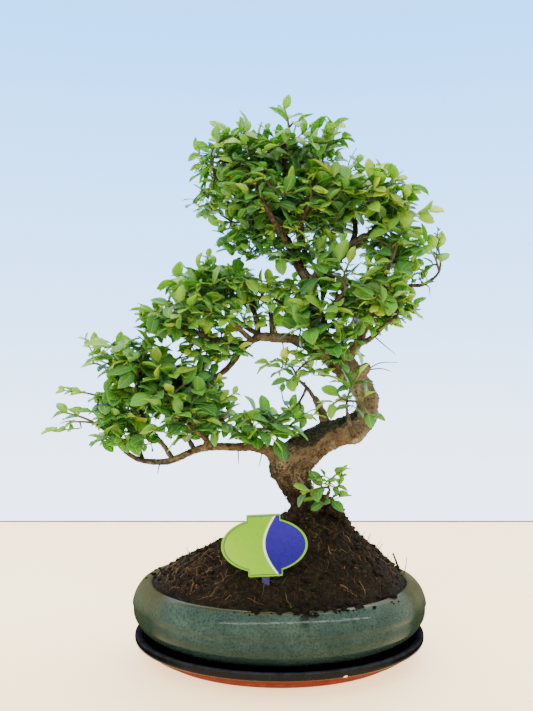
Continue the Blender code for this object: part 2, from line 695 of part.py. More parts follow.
def disc(name, radius, height, place, steps, collection):
    bm = bmesh.new()
    bmesh.ops.create_cone(bm, cap_ends=True, segments=steps, radius1=radius, radius2=radius, depth=height)
    bmesh.ops.translate(bm, verts=bm.verts[:], vec=place)
    return mesh_object(name, bm, collection)


def box(name, size, place, collection):
    bm = bmesh.new()
    bmesh.ops.create_cube(bm, size=1)
    bmesh.ops.scale(bm, vec=size, verts=bm.verts[:])
    bmesh.ops.translate(bm, verts=bm.verts[:], vec=place)
    return mesh_object(name, bm, collection)


def finish(obj, material, smooth_angle=35):
    obj.data.materials.clear()
    obj.data.materials.append(material)
    obj.data.shade_smooth()
    obj.data.set_sharp_from_angle(angle=math.radians(smooth_angle))
    return obj


# Pieces


def build_pot(parts, tools):
    outline = ((0, POT_FLOOR), *POT_INSIDE, *POT_RIM, *POT_SHOULDER, *POT_WALL, (0, POT_BASE))
    pot = turned("pot", outline, parts)
    foot_middle = SAUCER_FLOOR * MM + GAP + FOOT_SIZE.z / 2
    for side in (-1, 1):
        for end in (-1, 1):
            place = Vector((FOOT_PLACE.x * side, FOOT_PLACE.y * end, foot_middle))
            box("foot", FOOT_SIZE, place, tools)
    boolean(pot, tools, "UNION")
    for side in (-1, 1):
        disc("drain", DRAIN_RADIUS, 20 * MM, Vector((DRAIN_PLACE * side, 0, POT_BASE * MM)), 20, tools)
    boolean(pot, tools, "DIFFERENCE")
    return pot


def build_saucer(parts):
    outline = ((0, SAUCER_FLOOR), *SAUCER_INSIDE, *SAUCER_RIM, *SAUCER_OUTSIDE, (0, 0))
    return turned("saucer", outline, parts)


def screen_place(side):
    return Vector((DRAIN_PLACE * side, 0, POT_FLOOR * MM + GAP + SCREEN_THICKNESS / 2))


def build_screens(parts, tools):
    """A disc of mesh over each drain hole, to hold the soil back."""
    screens = []
    for word, side in (("left", -1), ("right", 1)):
        place = screen_place(side)
        screen = disc(f"drain_screen_{word}", SCREEN_RADIUS, SCREEN_THICKNESS, place, 16, parts)
        for k in range(4):
            angle = math.tau * (k + 0.5) / 4
            at = place + Vector((math.cos(angle), math.sin(angle), 0)) * SCREEN_HOLES_OUT
            disc("mesh_hole", SCREEN_HOLE, 4 * MM, at, 4, tools)
        screens.append(boolean(screen, tools, "DIFFERENCE"))
    return screens


def grown(path, by):
    """A path thicker and longer than another by the same amount, for the hole that it fits in."""
    spots = [spot for spot, _ in path]
    first = (spots[0] - spots[1]).normalized() * by
    last = (spots[-1] - spots[-2]).normalized() * by
    ends = {0: first, len(path) - 1: last}
    return [(spot + ends.get(i, Vector()), radius + by) for i, (spot, radius) in enumerate(path)]


def label_matrix():
    turn = Matrix.Rotation(LABEL_TURN, 4, "Y")
    lean = Matrix.Rotation(math.radians(90) - LABEL_LEAN, 4, "X")
    return Matrix.Translation(LABEL_PLACE) @ turn @ lean


def stake_size(grow):
    """Middle and size of the stake in the label's own frame, where Z faces the front."""
    length = STAKE_TOP - STAKE_FOOT
    middle = Vector((0, (STAKE_TOP + STAKE_FOOT) / 2, -LABEL_THICKNESS / 2 - GAP - STAKE_THICKNESS / 2))
    size = Vector((2 * STAKE_HALF_WIDTH, length, STAKE_THICKNESS)) + Vector((grow, grow, grow))
    return middle, size


def soil_height(spot, share):
    """Height of the mound, from the rim at share 1 to the peak at 0."""
    rise = SOIL_PEAK.z - POT_INSIDE[-1][1]
    height = POT_INSIDE[-1][1] + rise * (1 - share) ** SOIL_RISE_POWER
    lumps = noise.noise(spot * 0.045) + 0.5 * noise.noise(spot * 0.11)
    return height + lumps * SOIL_LUMPS * min(1, 6 * (1 - share))


def build_soil(parts, tools, routes):
    """A ball whose upper rings form the mound and whose lower ones fill the pot."""
    fit = GAP / MM
    inside = [(r - 1.4 * fit, z + fit * (z < POT_WALL[0][1])) for r, z in reversed(POT_INSIDE)]
    floor = POT_FLOOR + fit
    rings = 1 + len(SOIL_RINGS) + len(inside)
    bm = bmesh.new()
    bmesh.ops.create_uvsphere(bm, u_segments=OVAL_STEPS, v_segments=rings, radius=1)
    for vert in bm.verts:
        polar = math.acos(max(-1, min(1, vert.co.z))) / math.pi
        ring = round(polar * rings)
        angle = math.atan2(vert.co.y, vert.co.x)
        if ring == 0:
            vert.co = SOIL_PEAK * MM
            continue
        if ring == rings:
            vert.co = (0, 0, floor * MM)
            continue
        ring -= 1
        if ring < len(SOIL_RINGS):
            share = SOIL_RINGS[ring]
            rim = inside[0][0]
            edge = Vector((rim * math.cos(angle), rim * OVAL_DEPTH * math.sin(angle), 0))
            peak = SOIL_PEAK.xy.to_3d()
            spot = peak.lerp(edge, share)
            spot.z = soil_height(spot, share)
        else:
            radius, height = inside[ring - len(SOIL_RINGS)]
            spot = Vector((radius * math.cos(angle), radius * OVAL_DEPTH * math.sin(angle), height))
        vert.co = spot * MM
    bmesh.ops.recalc_face_normals(bm, faces=bm.faces[:])
    soil = mesh_object("soil", bm, parts)
    reach = grown(routes["trunk"], fit * 1.3)
    tube("trunk_hole", reach, 3, tools)
    for name, points in ROOTS.items():
        tube(name + "_hole", grown(along_route(points, 9), fit * 1.5), 1, tools)
    middle, size = stake_size(2 * GAP)
    stake_hole = box("stake_hole", size, middle, tools)
    stake_hole.matrix_world = label_matrix()
    for side in (-1, 1):
        disc("screen_hole", SCREEN_RADIUS + GAP, SCREEN_THICKNESS + 2 * GAP, screen_place(side), 16, tools)
    return boolean(soil, tools, "DIFFERENCE")


def build_wood(parts, tools, routes, stubs, spurs):
    """Trunk, roots, branches and twigs, grown together as one piece."""
    wood = tube("wood", routes["trunk"], 3, parts)
    for vert in wood.data.vertices:
        spot = vert.co / MM
        if spot.z > BARK_STARTS:
            core = min((p for p, _ in routes["trunk"]), key=lambda p: (p - spot).length)
            away = (spot - core).normalized()
            size = noise.noise(spot * 0.05) + 0.6 * noise.noise(spot * 0.12)
            vert.co += away * size * BARK_LUMPS * MM
    for name, path in stubs.items():
        tube(name, path, 2, tools)
    for name, points in ROOTS.items():
        tube(name, along_route(points, 9), 1, tools)
    for name, path in routes.items():
        if name != "trunk":
            tube(name, path, 1 if path[0][1] > 3.3 else 0, tools)
    for name, path in spurs.items():
        tube(name + "_spur", path, 0, tools)
    return tidied(boolean(wood, tools, "UNION"))


def leaf_object(leaf, collection):
    """One blade: a strip shaped to the leaf's outline and bend, then given its thickness."""
    bm = bmesh.new()
    rows = len(LEAF_ROWS)
    bmesh.ops.create_grid(bm, x_segments=1, y_segments=rows - 1, size=1)
    for vert in bm.verts:
        row = round((vert.co.y + 1) / 2 * (rows - 1))
        side = math.copysign(leaf_half(leaf, row), vert.co.x)
        vert.co = leaf_spot(leaf, LEAF_ROWS[row][0], side, -LEAF_THICKNESS / 2) * MM
    bmesh.ops.remove_doubles(bm, verts=bm.verts[:], dist=1e-6)
    bmesh.ops.solidify(bm, geom=bm.faces[:], thickness=-LEAF_THICKNESS * MM)
    bmesh.ops.recalc_face_normals(bm, faces=bm.faces[:])
    return mesh_object("leaf", bm, collection)


def build_spray(spray, parts, tools):
    stem = tube(spray["name"], spray["shoots"][0], 0, parts)
    for path in spray["shoots"][1:]:
        tube("side_shoot", path, 0, tools)
    for leaf in spray["leaves"]:
        leaf_object(leaf, tools)
    return tidied(boolean(stem, tools, "UNION"))


def build_label(parts, tools):
    """The plate, with the stake behind it that goes down into the soil."""
    bm = bmesh.new()
    steps = 28
    bmesh.ops.create_cone(bm, cap_ends=True, segments=steps, radius1=1, radius2=1, depth=LABEL_THICKNESS)
    bmesh.ops.scale(bm, vec=(LABEL_HALF.x, LABEL_HALF.y, 1), verts=bm.verts[:])
    plate = mesh_object("label_plate", bm, parts)
    tab = Vector((2 * LABEL_TAB_HALF.x, 2 * LABEL_TAB_HALF.y, LABEL_THICKNESS))
    box("tabs", tab, Vector((0, 0, 0)), tools)
    boolean(plate, tools, "UNION")
    plate.matrix_world = label_matrix()
    middle, size = stake_size(0)
    stake = box("label_stake", size, middle, parts)
    stake.matrix_world = label_matrix()
    return plate, stake


def main():
    clear_scene()
    parts = bpy.data.collections.new("privet_bonsai")
    tools = bpy.data.collections.new("cutters")
    bpy.context.scene.collection.children.link(parts)
    bpy.context.scene.collection.children.link(tools)
    materials = {name: make_material(name) for name in COLOURS}
    routes, stubs, spurs, sprays = plan_tree()
    finish(build_saucer(parts), materials["dark_glaze"])
    finish(build_pot(parts, tools), materials["glaze"])
    for screen in build_screens(parts, tools):
        finish(screen, materials["screen"])
    finish(build_soil(parts, tools, routes), materials["soil"], 60)
    finish(build_wood(parts, tools, routes, stubs, spurs), materials["bark"], 60)
    plate, stake = build_label(parts, tools)
    finish(plate, materials["label"])
    finish(stake, materials["stake"])
    for spray in sprays:
        finish(build_spray(spray, parts, tools), materials["leaf"])
    bpy.data.collections.remove(tools)


main()
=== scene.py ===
"""The looks of a privet bonsai in its pot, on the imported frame.

The tree is grown by the same rule and seeds as its solids: the routes of the wood and the leaves of each
spray lie where the solids have them. Finer bark, more twigs and leaves, crumbs, fibres, moss, glazes and
a plain two-coloured label are added to that. The tree's own points are in millimetres.
"""

import json
import math
import random

import bmesh
import bpy
import numpy as np
from mathutils import Matrix, Vector, kdtree, noise
from mathutils.bvhtree import BVHTree

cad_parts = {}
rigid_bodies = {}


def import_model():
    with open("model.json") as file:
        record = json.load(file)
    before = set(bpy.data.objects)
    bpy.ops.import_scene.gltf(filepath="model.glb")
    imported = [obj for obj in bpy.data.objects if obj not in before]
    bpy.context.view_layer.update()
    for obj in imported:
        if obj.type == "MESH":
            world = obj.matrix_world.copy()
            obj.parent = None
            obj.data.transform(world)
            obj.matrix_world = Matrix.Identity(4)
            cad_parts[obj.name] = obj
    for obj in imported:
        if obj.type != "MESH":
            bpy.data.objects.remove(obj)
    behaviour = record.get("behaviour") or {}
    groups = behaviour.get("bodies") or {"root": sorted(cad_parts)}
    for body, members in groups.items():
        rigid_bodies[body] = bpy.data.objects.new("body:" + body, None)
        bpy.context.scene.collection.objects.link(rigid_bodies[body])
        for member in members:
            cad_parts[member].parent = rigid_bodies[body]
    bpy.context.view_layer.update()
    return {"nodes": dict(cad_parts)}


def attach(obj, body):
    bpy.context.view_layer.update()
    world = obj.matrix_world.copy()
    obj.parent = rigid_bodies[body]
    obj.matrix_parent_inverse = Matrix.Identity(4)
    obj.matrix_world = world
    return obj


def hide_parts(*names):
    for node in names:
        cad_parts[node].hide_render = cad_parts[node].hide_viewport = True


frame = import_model()

MM = 0.001
GAP = 0.3 * MM  # clearance between two pieces that touch
FAR = 1e9

# Pot and saucer: (radius along X, height), from the middle inside, over the rim, to the middle below
OVAL_DEPTH = 0.77  # of the length
POT_FLOOR = 18.0
POT_INSIDE = ((80, 18), (110, 27.5), (120.5, 37.5), (123, 47.5), (121, 55), (112.8, 64.3))
POT_RIM = ((114.5, 66), (117.5, 66.3))
POT_SHOULDER = ((122.5, 64), (127, 58), (129.5, 51.5))
POT_WALL = ((130, 48), (128.5, 38), (122, 28.5), (111, 21.5), (98, 16.5), (89, 12.5))
POT_BASE = 12.0
FOOT_SIZE = Vector((26, 15, 7)) * MM
FOOT_PLACE = Vector((56, 33)) * MM
DRAIN_RADIUS = 10 * MM
DRAIN_PLACE = 38 * MM
SAUCER_FLOOR = 6.5
SAUCER_INSIDE = ((100, 6.5), (105, 8.5), (122.3, 21.2))
SAUCER_RIM = ((125, 22.3), (127.8, 21.2))
SAUCER_OUTSIDE = ((127.8, 16.4), (126, 15.5), (97, 1.2), (94, 0))

# Soil: a mound on the filled pot
SOIL_PEAK = Vector((32, 0, 131))
SOIL_RISE_POWER = 0.8
SOIL_LUMPS = 1.6

# Plant label: an oval plate with a short square tab above and below, on a stake
LABEL_PLACE = Vector((-13, -66, 112)) * MM
LABEL_HALF = Vector((35, 21.5)) * MM
LABEL_TAB_HALF = Vector((13.8, 24.5)) * MM
LABEL_THICKNESS = 1.2 * MM
LABEL_LEAN = math.radians(10)
LABEL_TURN = math.radians(-2.5)
STAKE_HALF_WIDTH = 5 * MM
STAKE_TOP = 14 * MM  # above the middle of the plate
STAKE_FOOT = -62 * MM
STAKE_THICKNESS = 1.6 * MM

# Tree: (x, y, z, radius) along the middle of each length of wood
TRUNK = (
    (27, 0, 92, 17), (27, 0, 110, 17), (26, 0, 125, 15.5), (20, -1, 139, 12.5), (13, -3, 155, 15.5),
    (13, -4, 170, 17), (24, -6, 182, 15.5), (40, -6, 192, 13.5), (57, -4, 198, 11.5), (73, 0, 205, 10.5),
    (80, 4, 218, 10), (77, 7, 232, 10), (69, 6, 244, 10), (57, 3, 256, 10.5), (44, 0, 268, 10),
    (36, -2, 282, 9), (32, -4, 298, 7.5), (29, -5, 314, 6.8), (28, -5, 330, 6),
)
BRANCHES = {
    "arm_left": (
        (28, -5, 328, 5.5), (21, -4, 339, 4.8), (14, 0, 352, 4.4), (9, 4, 365, 4), (2, 8, 379, 3.6),
        (-7, 10, 397, 3.1), (-19, 8, 406, 2.6), (-33, 4, 411, 2.2), (-51, -2, 419, 1.7),
    ),
    "arm_left_up": (
        (2, 8, 379, 2.8), (8, 2, 394, 2.6), (7, -4, 410, 2.2), (4, -6, 430, 1.8), (5, -4, 453, 1.4),
    ),
    "crown_front": ((14, 0, 352, 3), (5, -20, 365, 2.6), (-8, -38, 384, 2.2), (-18, -46, 403, 1.5)),
    "crown_back": ((21, -4, 339, 3.2), (24, 22, 363, 2.8), (19, 38, 389, 2.3), (9, 44, 419, 1.5)),
    "arm_mid": (
        (15, 0, 351, 3), (18, -14, 366, 2.8), (19, -24, 381, 2.5), (26, -28, 398, 2), (30, -26, 409, 1.5),
    ),
    "arm_right": (
        (28, -5, 328, 5.5), (38, -8, 340, 5), (53, -10, 352, 4.4), (68, -8, 365, 3.6), (79, -6, 372, 3),
        (92, -4, 384, 2.4), (103, -2, 399, 1.6),
    ),
    "arm_right_up": ((63, -9, 360, 2.8), (69, 4, 380, 2.4), (65, 12, 402, 2), (61, 14, 426, 1.4)),
    "upright": (
        (55, 2, 257, 5), (69, -2, 274, 4.6), (79, -2, 297, 4.2), (86, 0, 315, 3.8), (90, 0, 333, 3.5),
        (94, 2, 349, 3), (101, 4, 364, 2.3), (111, 6, 376, 1.5),
    ),
    "far_right": (
        (86, 0, 317, 2.4), (101, -3, 323, 2), (116, -4, 327, 1.8), (128, -3, 328, 1.5), (138, -2, 334, 1.3),
    ),
    "right_front": ((79, -2, 297, 2.8), (80, -20, 309, 2.4), (85, -34, 322, 2), (91, -40, 337, 1.4)),
    "right_low": ((69, -2, 274, 2.8), (80, -14, 280, 2.4), (91, -22, 291, 1.9), (101, -24, 299, 1.4)),
    "centre_front": ((36, -2, 284, 3.2), (39, -20, 296, 2.8), (46, -36, 308, 2.2), (53, -46, 318, 1.5)),
    "centre_back": ((50, 2, 262, 3.4), (61, 22, 279, 2.8), (73, 38, 301, 2.2), (82, 46, 318, 1.5)),
    "branch_mid": (
        (41, 0, 269, 6), (26, -4, 274, 5.4), (10, -6, 280, 4.6), (-6, -6, 281, 4.2), (-19, -5, 281, 3.8),
        (-31, -4, 273, 3.2), (-40, -4, 261, 2.8), (-49, -4, 251, 2.5), (-61, -4, 244, 2.1),
    ),
    "mid_up": ((-19, -5, 281, 3), (-20, 2, 295, 2.6), (-25, 6, 311, 2.2), (-34, 8, 324, 1.5)),
    "mid_out": (
        (-29, -4, 275, 3), (-42, -10, 276, 2.6), (-57, -14, 279, 2.2), (-73, -12, 286, 1.8),
        (-88, -8, 291, 1.3),
    ),
    "mid_inner": ((-6, -6, 281, 2.4), (-7, -2, 295, 2.2), (-8, 0, 309, 1.5)),
    "mid_back": ((-14, -5, 281, 2.8), (-25, 18, 288, 2.4), (-42, 34, 297, 2), (-61, 42, 302, 1.4)),
    "mid_front": ((-24, -5, 278, 2.6), (-34, -22, 287, 2.2), (-47, -36, 297, 1.8), (-61, -40, 302, 1.3)),
    "branch_low": (
        (4, -4, 173, 7), (-8, -6, 180, 5.6), (-21, -8, 184, 4.3), (-39, -8, 184, 3.8), (-60, -8, 184, 3.5),
        (-75, -9, 181, 3.2), (-93, -10, 173, 3), (-105, -10, 171, 2.7), (-121, -8, 172, 2.3),
        (-133, -6, 177, 2), (-144, -4, 187, 1.7), (-154, -4, 197, 1.3),
    ),
    "low_a": (
        (-66, -8, 182, 2.6), (-64, -14, 193, 2.3), (-72, -16, 202, 2), (-85, -14, 209, 1.8),
        (-101, -10, 213, 1.3),
    ),
    "low_b": (
        (-94, -10, 173, 2.5), (-102, -6, 184, 2.2), (-111, -2, 194, 2), (-119, 2, 205, 1.8),
        (-127, 4, 219, 1.5), (-134, 3, 234, 1.2),
    ),
    "low_c": ((-28, -8, 184, 2.2), (-32, -14, 194, 1.8), (-43, -20, 202, 1.5), (-52, -22, 208, 1.2)),
    "low_front": ((-60, -8, 184, 2.6), (-65, -26, 194, 2.1), (-76, -40, 207, 1.7), (-88, -46, 221, 1.3)),
    "low_back": ((-75, -9, 181, 2.6), (-83, 14, 189, 2.1), (-95, 30, 204, 1.7), (-109, 38, 219, 1.3)),
    "low_end_back": ((-121, -8, 172, 2), (-128, 10, 183, 1.6), (-138, 18, 196, 1.2)),
    "stub_twig": ((32, -4, 226, 2), (24, -8, 237, 1.6), (16, -10, 244, 1.2)),
    "base_twig": ((28, -6, 122, 2.6), (33, -16, 131, 2.2), (39, -21, 139, 1.8), (43, -22, 147, 1.5)),
    "front_riser": ((65, -6, 193, 3.4), (66, -14, 193, 3), (62, -18, 203, 2.3), (59, -19, 215, 1.6)),
}
STUBS = {
    "stub_top": ((42, -6, 197, 4.2), (39, -5, 211, 3.8), (35, -4, 221, 3.3), (31, -4, 228, 2.4)),
    "elbow_stub": ((64, 4, 248, 4.6), (73, 0, 251, 4), (78, -3, 252, 3.2)),
    "pruned_knob": ((33, -4, 293, 5.6), (34, -11, 302, 4.6), (34, -16, 305, 3.8)),
}
ROOTS = {
    "root_left": ((26, 0, 130, 11), (16, -8, 126, 7), (4, -14, 119, 4.5), (-8, -18, 108, 2.5)),
    "root_right": ((29, 0, 131, 12), (42, -4, 131, 8), (52, -6, 125, 5.5), (64, -8, 110, 3)),
    "root_front": ((25, -2, 128, 11), (26, -17, 118, 7), (29, -29, 107, 4.5), (33, -42, 94, 2.5)),
    "root_back": ((30, 3, 129, 11), (40, 18, 121, 7), (53, 30, 107, 4)),
}
BARK_LUMPS = 1.1
BARK_STARTS = 133  # height above which the trunk is lumpy

# Foliage: a pad is (middle, half sizes, number of shoot tips, tips at set places)
PADS = {
    "crown_left": ((-32, 0, 440), (38, 44, 27), 6, ()),
    "crown_top": ((17, 0, 451), (41, 50, 27), 6, ((5, 0, 486),)),
    "crown_low": ((-6, 0, 399), (40, 50, 28), 4, ()),
    "crown_right": ((42, 0, 400), (30, 52, 32), 6, ()),
    "right_top": ((92, 0, 404), (27, 38, 22), 4, ()),
    "right_mid": ((107, 0, 361), (30, 42, 27), 5, ((142, -2, 362),)),
    "right_low": ((88, -2, 310), (32, 44, 25), 5, ((116, -8, 304),)),
    "centre_front": ((49, -34, 331), (22, 18, 20), 4, ()),
    "trunk_front": ((32, -32, 291), (24, 14, 24), 4, ()),
    "mid_top": ((-55, 2, 322), (40, 44, 22), 6, ()),
    "mid_outer": ((-91, 0, 295), (27, 34, 16), 4, ()),
    "mid_inner": ((2, 2, 313), (29, 26, 24), 4, ()),
    "mid_low": ((-57, -4, 270), (27, 32, 14), 4, ()),
    "low_top": ((-135, 0, 259), (34, 36, 20), 5, ((-164, 0, 272),)),
    "low_tip": ((-157, -2, 214), (38, 34, 20), 4, ((-183, -4, 206), (-179, 8, 232))),
    "low_inner": ((-92, 0, 232), (39, 46, 23), 6, ()),
    "low_near": ((-63, -12, 206), (25, 34, 12), 4, ()),
}
SINGLES = {
    "riser": ((70, -20, 250), (78, -30, 213), (45, -30, 223)),
    "stub": ((4, -14, 259), (27, -14, 261)),
    "collar": ((7, -16, 214), (22, -20, 213)),
    "low_collar": ((-27, -20, 207), (-7, -24, 200)),
    "base": ((51, -24, 164), (23, -28, 148)),
}

SEED = 7
PAD_FILL = (0.74, 0.92)  # where tips lie between the middle and the edge of a pad
PAD_LOWEST = -0.5  # how far round to the underside tips go, from 1 at the top to -1
PAD_STAGGER = 0.25  # radians

# Where a spray grows from: every length of wood has a cost, and the least is taken
END_REACH = 50  # a branch end carries a spray this far away
END_LEAST = 12  # shortest way from a branch end to a shoot's tip
END_WORTH = 0.15  # share of a branch end's distance that counts
THICK_COST = 1.2  # for each mm of radius
BACKWARD_COST = 14  # for a spur that turns back along its branch
ALONGSIDE_COST = 80  # for a spur that runs beside its branch
ALONGSIDE = 0.7  # cosine of the angle from which it does
SPUR_KEEP = 20  # length of green shoot beyond a spur of wood
SPUR_LEAST = 4  # length of the shortest spur beyond the bark
SPUR_SAG = 0.06
SPUR_RADIUS = (1.7, 1.25)

# Green shoots
SHOOT_RADIUS = (1.25, 0.9)
SHOOT_STEPS = 3
SHOOT_CURVE = 0.42
WAY_TRIES = 60  # a shoot that meets something is bent and moved a little more each time
WAY_BEND = 0.05
WAY_MOVE = 0.3

# Leaves stand in pairs, one pair near a shoot's tip and one further back, to be tried level by level
LEAF_LENGTHS = ((14, 17), (18.5, 22))
LEAF_ANGLES = (38, 58)
ANGLE_SPREAD = 7
LEAF_ROWS = ((0.0, 0.0), (0.34, 0.265), (0.7, 0.215), (1.0, 0.0))  # (along, half width) in leaf lengths
LEAF_ROOT_OUT = 0.1
LEAF_OUTWARD = 0.45
LEAF_SWAY = 0.38
LEAF_RISE = (0.0, 0.22)
LEAF_DROOP = (0.12, 0.34)
PAIR_EVERY = (1, 2)  # every spray has its first pairs, every second one has a pair further back
PAIR_FROM_TIP = 2.2
PAIR_STAGGER = 2.0
PAIR_TWIST = 0.2
PAIR_LEAST = 5  # from the foot of a shoot
NODE_SPACING = 11.5
LEAF_TRIES = 14  # a leaf that meets something is turned one way, then the other
LEAF_TURN = 0.3
LEAF_SHRINK = 0.02

# Clearances that shoots and leaves keep
GUARD_EDGE = 0.4
GUARD_HALF = 0.55
GUARD_WOOD = 0.4
GUARD_SHOOT = 0.15
GUARD_SIDES = 6
SEAT_PASSED = 3  # length of shoot that is let off the test against its own seat
LEAF_REACH = 16

# Curves and sticks
STEP_PER_RADIUS = 1.1  # thick wood goes in longer steps
LEAST_RADIUS = 0.2
ANCHOR_RADIUS = 3.6  # twigs of the scene start on wood thinner than this
SHOOT_SIDES = 7


# Plan of the tree: points, shoots and leaves, in millimetres


def random_way(rng):
    return Vector(rng.uniform(-1, 1) for _ in range(3))


def smooth_path(points, step, per_radius=0.0):
    """A smooth curve through (x, y, z, radius) or (point, radius), as (point, radius) at about each step."""
    knots = [Vector((*p[0], p[1])) if len(p) == 2 else Vector(p) for p in points]
    knots = [knots[0] * 2 - knots[1]] + knots + [knots[-1] * 2 - knots[-2]]
    path = []
    for a, b, c, d in zip(knots, knots[1:], knots[2:], knots[3:]):
        steps = max(1, round((c - b).to_3d().length / max(step, per_radius * b[3])))
        for u in [i / steps for i in range(steps)]:
            spot = b * 2 + (c - a) * u + (a * 2 - b * 5 + c * 4 - d) * u**2 + (b * 3 - a - c * 3 + d) * u**3
            path.append(spot / 2)
    path.append(knots[-2])
    return [(spot.to_3d(), max(LEAST_RADIUS, spot[3])) for spot in path]


def ring(middle, side, other, radius, count):
    """Points of a circle across two directions."""
    angles = [math.tau * k / count for k in range(count)]
    return [middle + (side * math.cos(a) + other * math.sin(a)) * radius for a in angles]


def band(start, count):
    """Faces between the ring of points that begins at start and the one before it."""
    faces = []
    for k in range(count):
        here, following = start + k, start + (k + 1) % count
        faces.append((here - count, following - count, following, here))
    return faces


def bow(start, control, end, u):
    return start * (1 - u) ** 2 + control * (2 * u * (1 - u)) + end * u**2


def pad_tips(index, pad):
    """Shoot tips spread evenly over a pad's top and sides, with a seeded stagger."""
    middle, half, count, fixed = pad
    rng = random.Random(SEED * 100 + index)
    turn = rng.uniform(0, math.tau)
    tips = [Vector(p) for p in fixed]
    for i in range(count):
        up = 1 - (1 - PAD_LOWEST) * (i + 0.5) / count
        out = math.sqrt(1 - up * up)
        angle = turn + i * math.pi * (3 - math.sqrt(5)) + rng.uniform(-PAD_STAGGER, PAD_STAGGER)
        fill = rng.uniform(*PAD_FILL)
        way = Vector((out * math.cos(angle), out * math.sin(angle), up)) * fill
        tips.append(Vector(middle) + Vector(a * b for a, b in zip(way, half)))
    return tips


def paired(tips, middle):
    """Groups of two neighbouring tips, with one left alone where the number is odd."""
    left = list(tips)
    groups = []
    while left:
        first = max(left, key=lambda tip: (tip - middle).length)
        left.remove(first)
        group = [first]
        if left:
            group.append(min(left, key=lambda tip: (tip - first).length))
            left.remove(group[1])
        groups.append(group)
    return groups


def nearest_seat(tips, routes, taken):
    """Where a spray grows from: (cost, route, index), at a free branch end or along the wood."""
    target = sum(tips, Vector()) / len(tips)
    best = None
    for name, path in routes.items():
        last = len(path) - 1
        for i in range(1, last + 1):
            point, radius = path[i]
            reach = (target - point).length
            closest = min((tip - point).length for tip in tips)
            if i == last and (name in taken or reach > END_REACH or closest < END_LEAST):
                continue
            heading = (path[i][0] - path[i - 1][0]).normalized()
            onward = heading.dot((target - point).normalized())
            cost = radius * THICK_COST + BACKWARD_COST * max(0, -onward)
            if i == last:
                cost += reach * END_WORTH
            else:
                cost += reach + ALONGSIDE_COST * max(0, onward - ALONGSIDE)
            if best is None or cost < best[0]:
                best = (cost, name, i)
    return best


def plan_spray(name, pad, tips, routes, spurs, taken):
    """The seat of one spray, on a branch end or on a spur of wood made for it."""
    target = sum(tips, Vector()) / len(tips)
    _, route, i = nearest_seat(tips, routes, taken)
    point, radius = routes[route][i]
    if i == len(routes[route]) - 1:
        taken.add(route)
        heading = (point - routes[route][i - 1][0]).normalized()
        base = point
        seat = route
    else:
        way = target - point
        rise = way.normalized()
        length = max(radius + SPUR_LEAST, way.length - SPUR_KEEP)
        thick = min(SPUR_RADIUS[0], radius * 0.8)
        base = point + rise * length
        middle = point + rise * (length * 0.55) - Vector((0, 0, SPUR_SAG * length))
        spurs[name] = [(point, thick), (middle, (thick + SPUR_RADIUS[1]) / 2), (base, SPUR_RADIUS[1])]
        heading = (base - middle).normalized()
        seat = name
    return {"name": name, "pad": pad, "seat": seat, "base": base, "heading": heading, "tips": tips}


def shoot_path(start, heading, tip, steps, thick):
    control = start + heading * (tip - start).length * SHOOT_CURVE
    path = []
    for i in range(steps + 1):
        u = i / steps
        path.append((bow(start, control, tip, u), thick + (SHOOT_RADIUS[1] - thick) * u))
    return path


def grow_shoots(spray, tips, bend):
    """The first tip's shoot from the seat, and one forking off it for the other tip."""
    heading = spray["heading"]
    start = spray["base"]
    tips = sorted(tips, key=lambda tip: (start - tip).length, reverse=True)
    aim = (heading * 2 + bend).normalized()
    path = shoot_path(start, aim, tips[0], SHOOT_STEPS, SHOOT_RADIUS[0])
    tilt = heading.cross((path[1][0] - start).normalized()).length
    path[0] = (start + heading * (GAP / MM + path[0][1] * tilt), path[0][1])
    shoots = [path]
    for tip in tips[1:]:
        at, thick = path[1]
        onward = (path[2][0] - at).normalized() + (tip - at).normalized()
        shoots.append(shoot_path(at, onward.normalized(), tip, SHOOT_STEPS - 1, thick * 0.92))
    return shoots


def prism(path, grow, skip=0.0):
    """(points, faces) of a six-sided guard round a path, starting a little way along it."""
    points = []
    faces = []
    for i, (spot, radius) in enumerate(path):
        ahead = path[min(i + 1, len(path) - 1)][0] - path[max(i - 1, 0)][0]
        if i == 0 and skip:
            spot = spot.lerp(path[1][0], min(0.9, skip / (path[1][0] - spot).length))
        side = ahead.orthogonal().normalized()
        reach = (radius + grow) / math.cos(math.pi / GUARD_SIDES)
        points += ring(spot, side, ahead.normalized().cross(side), reach, GUARD_SIDES)
        faces += band(GUARD_SIDES * i, GUARD_SIDES) if i else []
    last = len(points) - GUARD_SIDES
    faces += [tuple(reversed(range(GUARD_SIDES))), tuple(range(last, len(points)))]
    return points, faces


def tree_of(solids):
    """One search tree over several (points, faces) solids."""
    points = []
    faces = []
    for some_points, some_faces in solids:
        start = len(points)
        points += some_points
        faces += [tuple(start + i for i in face) for face in some_faces]
    return BVHTree.FromPolygons(points, faces, epsilon=0.0)


def leaf_spot(leaf, t, side, lift):
    """A point of a leaf's blade: t along it, side across it, lift above its middle surface."""
    across = leaf["along"].cross(leaf["normal"])
    length = leaf["length"]
    rise = length * (leaf["rise"] * t - leaf["droop"] * t * t)
    return leaf["root"] + leaf["along"] * (t * length) + leaf["normal"] * (rise + lift) + across * side


def leaf_half(leaf, row):
    return LEAF_ROWS[row][1] * leaf["length"]


